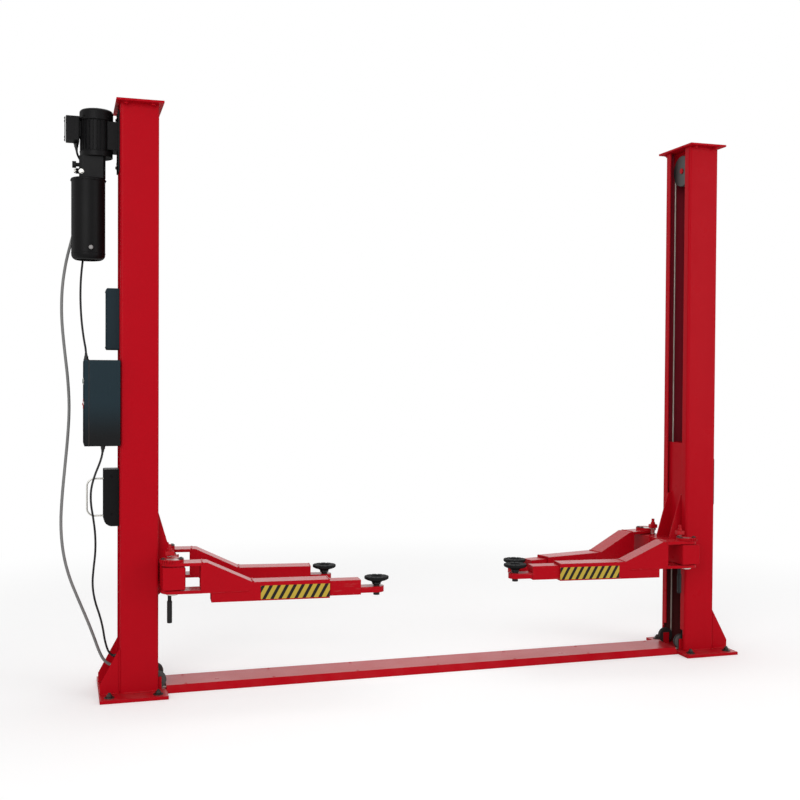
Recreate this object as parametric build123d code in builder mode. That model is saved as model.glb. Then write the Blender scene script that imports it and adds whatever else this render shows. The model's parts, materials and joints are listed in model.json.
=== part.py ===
from math import cos, pi, radians, tan
import os

from build123d import *

os.makedirs("parts", exist_ok=True)

# Two post car lift. The origin lies on the floor midway between the columns.
# +X points to the right column, +Y to the rear of the bay and +Z up.
# Lengths are millimetres. The left column's pieces are modelled and mirrored.

# Whole lift
overall_height = 2824
inner_span = 2870
running_gap = 0.3
walk_gap = 6

# Columns
column_width = 180
column_depth = 250
column_wall = 6
bend_radius = 13
slot_width = 154
foot_gap = 204
foot_gap_height = 112
cap_thickness = 10
cap_overhang_side = 20
cap_overhang_front = 46
latch_window_height = 90
latch_window_width = 50

# Bases
base_thickness = 16
base_front = 99
base_outward = 95
base_inward = 40
anchor_hole_radius = 9.5
anchor_edge = 45
foot_rib_thickness = 12
foot_rib_reach = 92
foot_rib_height = 232
foot_rib_toe = 46
chain_anchor_height = 60
chain_anchor_margin = 6

# Floor channel and its cover
cover_height = 32
cover_top_width = 190
cover_width = 250
cover_sheet = 3
channel_width = 186
channel_sheet = 3

# Lifting cables and sheaves
cable_radius = 5
cable_spread = 82
cable_depth = 38
top_sheave_drop = 114
sheave_width = 22
sheave_axle_radius = 15
sheave_axle_end = 4
sheave_side_gap = 1
hanger_thickness = 8
hanger_drop = 40
floor_sheave_radius = 38
floor_sheave_width = 18
floor_axle_radius = 9
floor_cheek = 5
floor_cheek_length = 34
floor_cheek_rise = 16
rim_share = 0.6
groove_floor_share = 1.1
groove_rim_share = 1.5

# Hydraulic cylinder, ram and lifting chain
cylinder_depth = 95
cylinder_radius = 35
cylinder_bore = 28
cylinder_top = 1020
barrel_foot = 14
port_rise = 40
port_radius = 13
port_length = 12
port_sink = 4
gland_radius = 39
gland_length = 40
ram_radius = 20
ram_foot = 190
piston_length = 30
chain_pitch_radius = 52
chain_thickness = 11
chain_width = 20
chain_wheel_width = 24
chain_wheel_rise = 242
chain_wheel_gap = 4
chain_axle_radius = 12
yoke_thickness = 8
yoke_width = 60

# Carriages
carriage_bottom = 470
carriage_top = 1170
carriage_width = 200
carriage_back = 158
carriage_front = 16
carriage_wall = 8
chain_shelf_rise = 30
chain_shelf_thickness = 16
chain_shelf_depth = 50
ladder_width = 60
ladder_thickness = 8
ladder_pitch = 75
ladder_window = 40
neck_spread = 130
neck_thickness = 10
neck_top = 880
neck_reach = 70
neck_lap = 1
neck_corner = 10
block_height = 120
block_gap = 0.5
block_end_gap = 10
block_side_gap = 2
beam_bottom = 525
beam_height = 105
beam_reach = 110
beam_length = 550
beam_wall = 10
boss_margin = 16

# Arm pins and restraint rods
pin_reach = 55
pin_span = 440
pin_radius = 19
pin_head_radius = 29
pin_head = 12
pin_tail = 12
pin_ring_margin = 7
pin_ring_height = 6
pin_ring_rise = 2
thrust_gap = 5
rod_span = 288
rod_reach = 50
rod_radius = 9
rod_top = 742
rod_bottom = 345
grip_radius = 13
grip_length = 105
pawl_lift = 6
pawl_length = 44
pawl_width = 30
pawl_height = 20
rod_nut_radius = 14
rod_nut_height = 34

# Arms
fork_radius = 52
fork_plate = 15
arm_width = 100
arm_wall = 8
tube_bottom = 460
tube_height = 90
tube_root = 180
tube_end = 745
side_root = 130
flat_end = 160
slope_end = 375
root_wall = 20
slope_wall = 40
gear_radius = 54
gear_tooth = 6
gear_bore_margin = 4
gear_teeth = 17
gear_first_angle = 70
gear_angle = 220
gear_thickness = 14

# Arm extensions
slide_gap = 2
extension_wall = 6
extension_length = 540
nose_plate = 8
tongue_lap = 20
tongue_reach = 85
tongue_width = 72
tongue_thickness = 28
tongue_bottom = 475

# Lifting pads
pad_top = 550
pad_radius = 60
pad_thickness = 30
pad_plate_radius = 50
pad_plate = 6
screw_radius = 16
screw_bottom = 458
pad_edge = 5
pad_bolt_radius = 9
pad_dish_radius = 22
pad_dish_depth = 5
pad_rib_count = 6
pad_rib_length = 22
pad_rib_width = 5
pad_rib_depth = 3
pad_rib_place = 41

# Arms at rest: reach from the pin to the pad, and turn about +Z in degrees
left_front_reach = 985
left_rear_reach = 820
right_front_reach = 978
right_rear_reach = 936
left_front_turn = -4.0
left_rear_turn = -7.8
right_front_turn = 175.2
right_rear_turn = 192.7

# Power unit on the left column's outer face
motor_radius = 70
motor_bell_radius = 76
motor_bell_height = 26
motor_cowl_margin = 2
motor_cowl_height = 52
motor_cowl_edge = 14
motor_out = 105
fin_count = 24
fin_height = 6
fin_thickness = 3
fin_end_gap = 30
terminal_width = 90
terminal_depth = 62
terminal_collar = 6
terminal_collar_width = 60
terminal_collar_height = 72
pump_out = 64
pump_width = 120
pump_depth = 110
pump_chamfer = 12
knob_side = 20
knob_rise = 62
knob_radius = 16
knob_stem_radius = 9
knob_stem_length = 14
knob_length = 18
pump_plug_side = 24
pump_plug_rise = 40
pump_plug_radius = 13
elbow_radius = 11
elbow_rise = 40
elbow_reach = 58
tank_radius = 78.5
tank_out = 142
tank_edge = 26
tank_plug_radius = 13
tank_plug_rise = 54
tank_plug_side = 10
tank_plug_length = 8
tank_plug_sink = 6
bracket_plate = 8
bracket_width = 140
bracket_margin = 30
bracket_shelf = 10
bracket_shelf_width = 110
bracket_rib = 8
bracket_rib_side = 50
bracket_rib_drop = 80

# Boxes on the columns
junction_out = 57
junction_width = 120
control_out = 162
control_width = 290
lock_out = 72
lock_width = 110
lock_corner = 40
box_corner = 6

# Release handle on the left lock cover: a bent rod
handle_out = 148
handle_rod_radius = 4
handle_bend = 36
handle_side = 12

# Shares of the overall height at which the units on a column stand
motor_top_share = 0.9883
motor_bottom_share = 0.9093
terminal_top_share = 0.9745
terminal_bottom_share = 0.9348
pump_bottom_share = 0.8729
tank_bottom_share = 0.7358
junction_top_share = 0.6884
junction_bottom_share = 0.5846
control_top_share = 0.5666
control_bottom_share = 0.4232
lock_top_share = 0.3821
lock_bottom_share = 0.2854
handle_top_share = 0.3655
handle_bottom_share = 0.3025

# Cords on the left column
hose_radius = 7
motor_cable_radius = 5
control_cable_radius = 5
hose_fitting_rise = 3
hose_entry_height = 120
control_entry_height = 170

# Levels and places that follow from the sizes above
inner_face = -inner_span / 2
outer_face = inner_face - column_width
cap_bottom = overall_height - cap_thickness
top_sheave_height = cap_bottom - top_sheave_drop
motor_top = motor_top_share * overall_height
motor_bottom = motor_bottom_share * overall_height
terminal_top = terminal_top_share * overall_height
terminal_bottom = terminal_bottom_share * overall_height
pump_bottom = pump_bottom_share * overall_height
tank_bottom = tank_bottom_share * overall_height
junction_top = junction_top_share * overall_height
junction_bottom = junction_bottom_share * overall_height
control_top = control_top_share * overall_height
control_bottom = control_bottom_share * overall_height
lock_top = lock_top_share * overall_height
lock_bottom = lock_bottom_share * overall_height
handle_top = handle_top_share * overall_height
handle_bottom = handle_bottom_share * overall_height
column_height = cap_bottom - base_thickness
column_middle = inner_face - column_width / 2
inside_depth = column_depth - 2 * column_wall
chain_wheel_height = cylinder_top + chain_wheel_rise
floor_cable_height = base_thickness + 2 + cable_radius
floor_sheave_height = floor_cable_height + floor_sheave_radius
beam_top = beam_bottom + beam_height
upper_fork = beam_top + thrust_gap
lower_fork = beam_bottom - thrust_gap - fork_plate
fork_top = upper_fork + fork_plate
pin_top = fork_top + pin_head
tube_top = tube_bottom + tube_height
pawl_bottom = fork_top + gear_thickness + pawl_lift
pump_top = motor_bottom
elbow_height = pump_bottom + elbow_rise


# Cords: distance out from the column's outer face, Y, and share of the way from
# the cord's low end up to its high end
hose_points = [
    (170, 100, 1),
    (170, 100, 0.9804),
    (180, 98, 0.9476),
    (198, 92, 0.9093),
    (222, 80, 0.871),
    (246, 56, 0.8284),
    (263, 34, 0.7751),
    (265, 20, 0.7155),
    (251, 10, 0.6516),
    (235, 2, 0.592),
    (228, -3, 0.5324),
    (236, -6, 0.4727),
    (249, -8, 0.4131),
    (262, -9, 0.3535),
    (269, -7, 0.296),
    (259, -4, 0.2406),
    (231, 0, 0.1895),
    (187, 4, 0.1414),
    (149, 8, 0.1014),
    (116, 11, 0.0639),
    (93, 12, 0.0341),
    (72, 12, 0.0145),
    (50, 12, 0.0047),
    (25, 12, 0),
    (0, 12, 0),
]

motor_cable_points = [
    (197, 36, 1),
    (197, 36, 0.9692),
    (189, 52, 0.9423),
    (167, 78, 0.9154),
    (143, 98, 0.875),
    (131, 106, 0.8077),
    (133, 107, 0.7212),
    (142, 104, 0.625),
    (155, 98, 0.5385),
    (168, 80, 0.4519),
    (176, 52, 0.3702),
    (178, 32, 0.2788),
    (173, 22, 0.1827),
    (162, 18, 0.0962),
    (151, 16, 0.0433),
    (151, 16, 0),
]

control_cable_points = [
    (75, -40, 1),
    (75, -40, 0.9659),
    (89, -43, 0.9171),
    (113, -46, 0.8605),
    (131, -46, 0.7951),
    (131, -42, 0.7268),
    (119, -34, 0.6585),
    (109, -24, 0.5805),
    (108, -14, 0.4976),
    (117, -6, 0.4195),
    (123, 0, 0.3415),
    (111, 0, 0.2634),
    (87, 0, 0.1932),
    (73, -3, 0.1346),
    (65, -6, 0.08),
    (53, -6, 0.0351),
    (40, -6, 0.0117),
    (21, -6, 0),
    (0, -6, 0),
]


def bay(distance):
    """X of a point that lies this far into the bay from the left column's inner face."""
    return inner_face + distance


def out(distance):
    """X of a point that lies this far out from the left column's outer face."""
    return outer_face - distance


def cord_route(points, low, high):
    """The route through these points of a cord between two heights."""
    return [(out(distance), y, low + share * (high - low)) for distance, y, share in points]


def keep(name, piece):
    """Label a finished piece and write it."""
    piece.part.label = name
    export_step(piece.part, f"parts/{name}.step")


def keep_pair(name, piece):
    """Write a piece of the left column and its mirror image in the right one."""
    keep(f"left_{name}", piece)
    with BuildPart() as twin:
        mirror(piece.part, about=Plane.YZ)
    keep(f"right_{name}", twin)


def grooved_wheel(pitch_radius, rope_radius, width, bore):
    """A sheave about the Z axis, with a groove that clears the rope."""
    floor_radius = pitch_radius - rope_radius - running_gap
    rim_radius = pitch_radius + rim_share * rope_radius
    floor_half = groove_floor_share * rope_radius
    rim_half = groove_rim_share * rope_radius
    with BuildPart() as wheel:
        with BuildSketch(Plane.XZ):
            with BuildLine():
                Polyline(
                    (bore, -width / 2),
                    (rim_radius, -width / 2),
                    (rim_radius, -rim_half),
                    (floor_radius, -floor_half),
                    (floor_radius, floor_half),
                    (rim_radius, rim_half),
                    (rim_radius, width / 2),
                    (bore, width / 2),
                    close=True,
                )
            make_face()
        revolve(axis=Axis.Z)
    return wheel.part


def cord_tube(name, route, radius):
    """A cord's tube along straight runs joined by the largest tangent arcs."""
    points = [Vector(*point) for point in route]
    runs = [(b - a).length for a, b in zip(points, points[1:])]
    radii = []
    for index in range(1, len(points) - 1):
        before = points[index] - points[index - 1]
        after = points[index + 1] - points[index]
        turn = radians(before.get_angle(after))
        radii.append(0.45 * min(runs[index - 1], runs[index]) / tan(turn / 2))
    with BuildPart() as tube:
        with BuildLine() as path:
            FilletPolyline(*points, radius=radii)
        with BuildSketch(Plane(origin=path.wire() @ 0, z_dir=path.wire() % 0)):
            Circle(radius)
        sweep(path=path.wire())
    length = path.wire().length
    section = pi * radius**2
    print(name, "length", round(length), "tightest bend", round(min(radii)))
    print(name, "volume over section times length", round(tube.part.volume / (section * length), 4))
    keep(name, tube)


# Columns: folded channels, open towards the bay
with BuildPart() as column:
    with BuildSketch(Plane.XY.offset(base_thickness)):
        with Locations((column_middle, 0)):
            RectangleRounded(column_width, column_depth, bend_radius)
            RectangleRounded(
                column_width - 2 * column_wall,
                inside_depth,
                bend_radius - column_wall,
                mode=Mode.SUBTRACT,
            )
        with Locations((inner_face, 0)):
            Rectangle(4 * column_wall, slot_width, mode=Mode.SUBTRACT)
    extrude(amount=column_height)
    with Locations((inner_face, 0, base_thickness + foot_gap_height / 2)):
        Box(4 * column_wall, foot_gap, foot_gap_height, mode=Mode.SUBTRACT)
    with Locations((outer_face, 0, (lock_bottom + lock_top) / 2)):
        Box(4 * column_wall, latch_window_width, latch_window_height, mode=Mode.SUBTRACT)
keep_pair("column", column)

# Caps: top plate with the hanger and axle of the top sheave
hanger_depth = cable_depth + sheave_width / 2 + sheave_side_gap + hanger_thickness / 2
hanger_height = cap_bottom - top_sheave_height + hanger_drop
with BuildPart() as cap:
    with Locations((column_middle, 0, cap_bottom + cap_thickness / 2)):
        Box(
            column_width + 2 * cap_overhang_side,
            column_depth + 2 * cap_overhang_front,
            cap_thickness,
        )
    with Locations((bay(-hanger_depth), 0, cap_bottom - hanger_height / 2)):
        Box(hanger_thickness, inside_depth - 2 * block_gap, hanger_height)
    with BuildSketch(Plane.YZ.offset(bay(-hanger_depth))):
        with Locations((0, top_sheave_height)):
            Circle(sheave_axle_radius)
    extrude(amount=hanger_depth - cable_depth + sheave_width / 2 + sheave_axle_end)
keep_pair("cap", cap)

# Bases: floor plate with anchor holes, sloping outer ribs, the chain's anchor
# and the cheeks and axles of the floor sheaves
cheek_offset = floor_sheave_width / 2 + sheave_side_gap + floor_cheek / 2
cheek_height = floor_sheave_height + floor_cheek_rise - base_thickness
base_length = base_inward + column_width + base_outward
base_width = column_depth + 2 * base_front
base_middle = bay(base_inward - base_length / 2)
anchor_span_x = base_length - 2 * anchor_edge
anchor_span_y = base_width - 2 * anchor_edge
with BuildPart() as base:
    with Locations((base_middle, 0, base_thickness / 2)):
        Box(base_length, base_width, base_thickness)
    with Locations((base_middle, 0, base_thickness)):
        with GridLocations(anchor_span_x, anchor_span_y, 2, 2):
            Hole(anchor_hole_radius, depth=base_thickness)
    for rib_side in (-1, 1):
        rib_front = rib_side * (column_depth / 2 - bend_radius) + foot_rib_thickness / 2
        with BuildSketch(Plane.XZ.offset(-rib_front)):
            with BuildLine():
                Polyline(
                    (outer_face, base_thickness),
                    (outer_face, foot_rib_height),
                    (out(foot_rib_reach), foot_rib_toe + base_thickness),
                    (out(foot_rib_reach), base_thickness),
                    close=True,
                )
            make_face()
        extrude(amount=foot_rib_thickness)
    with Locations((bay(-cylinder_depth), -chain_pitch_radius, base_thickness)):
        Box(
            chain_width + 2 * chain_anchor_margin,
            chain_thickness + chain_anchor_margin,
            chain_anchor_height - base_thickness,
            align=(Align.CENTER, Align.CENTER, Align.MIN),
        )
    for row in (-1, 1):
        middle = row * cable_spread
        with Locations((inner_face, middle, base_thickness + cheek_height / 2)):
            with GridLocations(1, 2 * cheek_offset, 1, 2):
                Box(floor_cheek_length, floor_cheek, cheek_height)
        with BuildSketch(Plane.XZ.offset(-middle - cheek_offset)):
            with Locations((inner_face, floor_sheave_height)):
                Circle(floor_axle_radius)
        extrude(amount=2 * cheek_offset)
keep_pair("base", base)

# Floor channel between the bases and the cover over it
channel_half = -bay(base_inward + running_gap)
channel_side = cover_height - cover_sheet - channel_sheet - running_gap
with BuildPart() as floor_channel:
    with Locations((0, 0, channel_sheet / 2)):
        Box(2 * channel_half, channel_width, channel_sheet)
    with Locations((0, 0, channel_sheet + channel_side / 2)):
        with GridLocations(1, channel_width - channel_sheet, 1, 2):
            Box(2 * channel_half, channel_sheet, channel_side)
keep("floor_channel", floor_channel)

with BuildPart() as floor_cover:
    with BuildSketch(Plane.YZ.offset(-channel_half)):
        with BuildLine():
            Polyline(
                (-cover_width / 2, 0),
                (-cover_top_width / 2, cover_height),
                (cover_top_width / 2, cover_height),
                (cover_width / 2, 0),
                (cover_width / 2 - 1.25 * cover_sheet, 0),
                (cover_top_width / 2 - 0.5 * cover_sheet, cover_height - cover_sheet),
                (-cover_top_width / 2 + 0.5 * cover_sheet, cover_height - cover_sheet),
                (-cover_width / 2 + 1.25 * cover_sheet, 0),
                close=True,
            )
        make_face()
    extrude(amount=2 * channel_half)
keep("floor_cover", floor_cover)

# Sheaves: one at the top of each column and two at its foot
top_wheel = grooved_wheel(cable_spread, cable_radius, sheave_width, sheave_axle_radius + running_gap)
floor_wheel = grooved_wheel(
    floor_sheave_radius, cable_radius, floor_sheave_width, floor_axle_radius + running_gap
)
with BuildPart() as sheaves:
    with Locations(Location((bay(-cable_depth), 0, top_sheave_height), (0, 90, 0))):
        add(top_wheel)
    for row in (-1, 1):
        with Locations(
            Location((inner_face, row * cable_spread, floor_sheave_height), (90, 0, 0))
        ):
            add(floor_wheel)
keep_pair("sheaves", sheaves)


# Equalising cables: one loop over each top sheave, and two runs under the cover
cable_x = bay(-cable_depth)
with BuildPart() as column_cable:
    with BuildLine() as column_run:
        front_run = Line(
            (cable_x, -cable_spread, floor_sheave_height), (cable_x, -cable_spread, top_sheave_height)
        )
        over = ThreePointArc(
            front_run @ 1,
            (cable_x, 0, top_sheave_height + cable_spread),
            (cable_x, cable_spread, top_sheave_height),
        )
        Line(over @ 1, (cable_x, cable_spread, floor_sheave_height))
    with BuildSketch(Plane.XY.offset(floor_sheave_height)):
        with Locations((cable_x, -cable_spread)):
            Circle(cable_radius)
    sweep()
keep_pair("column_cable", column_cable)

with BuildPart() as floor_cables:
    for row in (-1, 1):
        across = row * cable_spread
        dip = floor_sheave_radius * (1 - cos(radians(45)))
        with BuildLine() as floor_run:
            turn_in = ThreePointArc(
                (cable_x, across, floor_sheave_height),
                (cable_x + dip, across, floor_cable_height + dip),
                (inner_face, across, floor_cable_height),
            )
            flat = Line(turn_in @ 1, (-inner_face, across, floor_cable_height))
            ThreePointArc(
                flat @ 1,
                (-cable_x - dip, across, floor_cable_height + dip),
                (-cable_x, across, floor_sheave_height),
            )
        with BuildSketch(Plane.XY.offset(floor_sheave_height)):
            with Locations((cable_x, across)):
                Circle(cable_radius)
        sweep(path=floor_run.wire())
keep("floor_cables", floor_cables)

# Cylinders: bored barrel with a gland head and an oil port
cylinder_x = bay(-cylinder_depth)
barrel_height = cylinder_top - base_thickness
with BuildPart() as cylinder:
    with Locations((cylinder_x, 0, base_thickness)):
        Cylinder(cylinder_radius, barrel_height, align=(Align.CENTER, Align.CENTER, Align.MIN))
    with Locations((cylinder_x, 0, cylinder_top - gland_length)):
        Cylinder(gland_radius, gland_length, align=(Align.CENTER, Align.CENTER, Align.MIN))
    with BuildSketch(Plane.XZ.offset(port_sink - cylinder_radius)):
        with Locations((cylinder_x, base_thickness + port_rise)):
            Circle(port_radius)
    extrude(amount=-port_length - port_sink)
    with Locations((cylinder_x, 0, base_thickness + barrel_foot)):
        Cylinder(
            cylinder_bore,
            barrel_height - barrel_foot - gland_length,
            align=(Align.CENTER, Align.CENTER, Align.MIN),
            mode=Mode.SUBTRACT,
        )
        Cylinder(
            ram_radius + running_gap,
            barrel_height,
            align=(Align.CENTER, Align.CENTER, Align.MIN),
            mode=Mode.SUBTRACT,
        )
keep_pair("cylinder", cylinder)

# Rams: rod with piston, yoke, axle and the chain's wheel
yoke_floor = chain_wheel_height - chain_pitch_radius - chain_thickness / 2 - chain_wheel_gap
cheek_reach = chain_wheel_width / 2 + sheave_side_gap + yoke_thickness
chain_inner = chain_pitch_radius - chain_thickness / 2
with BuildPart() as ram:
    with Locations((cylinder_x, 0, ram_foot)):
        Cylinder(
            ram_radius, yoke_floor - ram_foot, align=(Align.CENTER, Align.CENTER, Align.MIN)
        )
        Cylinder(
            cylinder_bore - running_gap,
            piston_length,
            align=(Align.CENTER, Align.CENTER, Align.MIN),
        )
    with Locations((cylinder_x, 0, yoke_floor - yoke_thickness / 2)):
        Box(2 * cheek_reach, yoke_width, yoke_thickness)
    for cheek_side in (-1, 1):
        cheek_x = cylinder_x + cheek_side * (cheek_reach - yoke_thickness / 2)
        with BuildSketch(Plane.YZ.offset(cheek_x - yoke_thickness / 2)):
            with Locations((0, (yoke_floor + chain_wheel_height) / 2)):
                Rectangle(yoke_width, chain_wheel_height - yoke_floor)
            with Locations((0, chain_wheel_height)):
                Circle(yoke_width / 2)
        extrude(amount=yoke_thickness)
    with BuildSketch(Plane.YZ.offset(cylinder_x - cheek_reach)):
        with Locations((0, chain_wheel_height)):
            Circle(chain_axle_radius)
    extrude(amount=2 * cheek_reach)
with BuildPart() as chain_wheel:
    with BuildSketch(Plane.YZ.offset(cylinder_x - chain_wheel_width / 2)):
        with Locations((0, chain_wheel_height)):
            Circle(chain_inner - running_gap)
            Circle(chain_axle_radius + running_gap, mode=Mode.SUBTRACT)
    extrude(amount=chain_wheel_width)
    with BuildSketch(Plane.YZ.offset(cylinder_x - chain_width / 2)):
        with Locations((0, chain_wheel_height)):
            Circle(chain_inner + chain_thickness)
            Circle(chain_inner, mode=Mode.SUBTRACT)
        with Locations((0, chain_wheel_height - chain_pitch_radius)):
            Rectangle(3 * chain_pitch_radius, 2 * chain_pitch_radius, mode=Mode.SUBTRACT)
    extrude(amount=chain_width)
with BuildPart() as ram_set:
    add(ram.part)
    add(chain_wheel.part)
keep_pair("ram", ram_set)

# Lifting chains: the strand held at the base and the strand held by the carriage
fixed_strand_length = chain_wheel_height - chain_anchor_height
with BuildPart() as fixed_strand:
    with Locations((cylinder_x, -chain_pitch_radius, chain_anchor_height + fixed_strand_length / 2)):
        Box(chain_width, chain_thickness, fixed_strand_length)
keep_pair("base_chain", fixed_strand)

chain_shelf = carriage_bottom + chain_shelf_rise
lift_strand_length = chain_wheel_height - chain_shelf
with BuildPart() as lift_strand:
    with Locations((cylinder_x, chain_pitch_radius, chain_shelf + lift_strand_length / 2)):
        Box(chain_width, chain_thickness, lift_strand_length)
keep_pair("lift_chain", lift_strand)

# Carriages: hollow box in the column, neck plates through the slot, arm beam
carriage_height = carriage_top - carriage_bottom
carriage_length = carriage_back - carriage_front
carriage_middle = bay(-(carriage_back + carriage_front) / 2)
ladder_x = bay(-carriage_back - ladder_thickness / 2)
window_count = int((carriage_height - ladder_window) // ladder_pitch)
with BuildPart() as carriage:
    with BuildSketch(Plane.XY.offset(carriage_bottom)):
        with Locations((carriage_middle, 0)):
            Rectangle(carriage_length, carriage_width)
            Rectangle(
                carriage_length - 2 * carriage_wall,
                carriage_width - 2 * carriage_wall,
                mode=Mode.SUBTRACT,
            )
    extrude(amount=carriage_height)
    with Locations((ladder_x, 0, carriage_bottom + carriage_height / 2)):
        Box(ladder_thickness, ladder_width, carriage_height)
    with BuildSketch(Plane.YZ.offset(bay(-carriage_back - ladder_thickness))):
        with Locations((0, carriage_bottom + carriage_height / 2)):
            with GridLocations(1, ladder_pitch, 1, window_count):
                Rectangle(ladder_width / 2, ladder_window)
    extrude(amount=ladder_thickness, mode=Mode.SUBTRACT)
    for neck_side in (-1, 1):
        neck_face = neck_side * neck_spread / 2 + neck_thickness / 2
        with BuildSketch(Plane.XZ.offset(-neck_face)):
            with BuildLine():
                Polyline(
                    (bay(-carriage_front - neck_lap), carriage_bottom),
                    (bay(-carriage_front - neck_lap), neck_top),
                    (bay(0), neck_top),
                    (bay(neck_reach), beam_top + neck_corner),
                    (bay(neck_reach), beam_bottom + neck_lap),
                    (bay(walk_gap), carriage_bottom),
                    close=True,
                )
            make_face()
        extrude(amount=neck_thickness)
    with BuildSketch(Plane.XZ.offset(-beam_length / 2)):
        with Locations((bay((walk_gap + beam_reach) / 2), beam_bottom + beam_height / 2)):
            Rectangle(beam_reach - walk_gap, beam_height)
            Rectangle(
                beam_reach - walk_gap - 2 * beam_wall,
                beam_height - 2 * beam_wall,
                mode=Mode.SUBTRACT,
            )
    extrude(amount=beam_length)
    for level, height in ((beam_bottom, -1), (beam_top, 1)):
        with BuildSketch(Plane.XY.offset(level)):
            with Locations((bay(pin_reach), 0)):
                with GridLocations(1, pin_span, 1, 2):
                    Circle(pin_radius + boss_margin)
        extrude(amount=height * (thrust_gap - running_gap))
    with Locations((bay(pin_reach), 0, beam_bottom + beam_height / 2)):
        with GridLocations(1, pin_span, 1, 2):
            Cylinder(pin_radius, 2 * beam_height, mode=Mode.SUBTRACT)
    with Locations((bay(rod_reach), 0, beam_bottom + beam_height / 2)):
        with GridLocations(1, rod_span, 1, 2):
            Cylinder(rod_radius + running_gap, 2 * beam_height, mode=Mode.SUBTRACT)
    with Locations((cylinder_x, carriage_width / 2, chain_shelf)):
        Box(
            chain_width + 2 * chain_anchor_margin,
            chain_shelf_depth + carriage_wall,
            chain_shelf_thickness,
            align=(Align.CENTER, Align.MAX, Align.MAX),
        )
keep_pair("carriage", carriage)

# Slide blocks: plastic guides at the carriage's four corners
block_x = bay(-column_wall - block_side_gap)
block_back = bay(-column_width + column_wall + block_side_gap)
block_reach = inside_depth / 2 - block_gap - carriage_width / 2
with BuildPart() as slide_blocks:
    for level in (carriage_bottom + block_end_gap, carriage_top - block_end_gap - block_height):
        for row in (-1, 1):
            middle = row * (carriage_width / 2 + block_reach / 2)
            with Locations(((block_x + block_back) / 2, middle, level + block_height / 2)):
                Box(block_x - block_back, block_reach, block_height)
    chamfer(
        slide_blocks.edges().filter_by(Axis.Z).filter_by(
            lambda edge: abs(edge.center().Y) > inside_depth / 2 - block_gap - 1
        ),
        length=bend_radius - column_wall,
    )
keep_pair("slide_blocks", slide_blocks)

# Arm pins, headed at the top and held by a ring below the fork
with BuildPart() as arm_pins:
    with Locations((bay(pin_reach), 0, 0)):
        with GridLocations(1, pin_span, 1, 2):
            with Locations((0, 0, lower_fork - pin_tail)):
                Cylinder(
                    pin_radius,
                    pin_top - lower_fork + pin_tail,
                    align=(Align.CENTER, Align.CENTER, Align.MIN),
                )
                with Locations((0, 0, pin_ring_rise)):
                    Cylinder(
                        pin_radius + pin_ring_margin,
                        pin_ring_height,
                        align=(Align.CENTER, Align.CENTER, Align.MIN),
                    )
            with Locations((0, 0, fork_top + running_gap)):
                Cylinder(
                    pin_head_radius,
                    pin_head,
                    align=(Align.CENTER, Align.CENTER, Align.MIN),
                )
keep_pair("arm_pins", arm_pins)

# Restraint rods: pull rod with pawl block, top nut and grip
with BuildPart() as restraint_rods:
    with Locations((bay(rod_reach), 0, 0)):
        with GridLocations(1, rod_span, 1, 2):
            with Locations((0, 0, rod_bottom)):
                Cylinder(
                    rod_radius, rod_top - rod_bottom, align=(Align.CENTER, Align.CENTER, Align.MIN)
                )
                Cylinder(
                    grip_radius, grip_length, align=(Align.CENTER, Align.CENTER, Align.MIN)
                )
            with Locations((0, 0, pawl_bottom)):
                Box(
                    pawl_length,
                    pawl_width,
                    pawl_height,
                    align=(Align.CENTER, Align.CENTER, Align.MIN),
                )
            with Locations((0, 0, pawl_bottom + pawl_height)):
                Cylinder(
                    rod_nut_radius, rod_nut_height, align=(Align.CENTER, Align.CENTER, Align.MIN)
                )
keep_pair("restraint_rods", restraint_rods)


def arm_shape():
    """A swing arm along +X from its pin: fork, sloping root, outer tube and gear ring."""
    with BuildPart() as arm:
        with BuildSketch(Plane.XZ.offset(-arm_width / 2)):
            with BuildLine():
                Polyline(
                    (side_root, lower_fork),
                    (tube_root, lower_fork),
                    (tube_root, tube_bottom),
                    (tube_end, tube_bottom),
                    (tube_end, tube_top),
                    (slope_end, tube_top),
                    (flat_end, fork_top),
                    (side_root, fork_top),
                    close=True,
                )
            make_face()
        extrude(amount=arm_width)
        for level in (lower_fork, upper_fork):
            with BuildSketch(Plane.XY.offset(level)):
                Circle(fork_radius)
                with Locations(((side_root + arm_wall) / 2, 0)):
                    Rectangle(side_root + arm_wall, 2 * fork_radius)
                Circle(pin_radius + running_gap, mode=Mode.SUBTRACT)
            extrude(amount=fork_plate)
        with BuildSketch(Plane.XZ.offset(-arm_width / 2 + arm_wall)):
            with BuildLine():
                Polyline(
                    (side_root - neck_lap, lower_fork + fork_plate),
                    (side_root - neck_lap, upper_fork),
                    (flat_end, upper_fork),
                    (slope_end - slope_wall, tube_top + arm_wall),
                    (tube_root + root_wall, tube_top + arm_wall),
                    (tube_root + root_wall, lower_fork + fork_plate),
                    close=True,
                )
            make_face()
            with Locations((tube_root + arm_wall, (tube_bottom + tube_top) / 2)):
                Rectangle(
                    tube_end - tube_root,
                    tube_height - 2 * arm_wall,
                    align=(Align.MIN, Align.CENTER),
                )
        extrude(amount=arm_width - 2 * arm_wall, mode=Mode.SUBTRACT)
        with BuildSketch(Plane.XY.offset(fork_top)):
            Circle(gear_radius)
            with PolarLocations(
                gear_radius, gear_teeth, start_angle=gear_first_angle, angular_range=gear_angle
            ):
                Rectangle(2 * gear_tooth, gear_tooth)
            Circle(pin_head_radius + gear_bore_margin, mode=Mode.SUBTRACT)
        extrude(amount=gear_thickness)
    return arm.part


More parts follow.
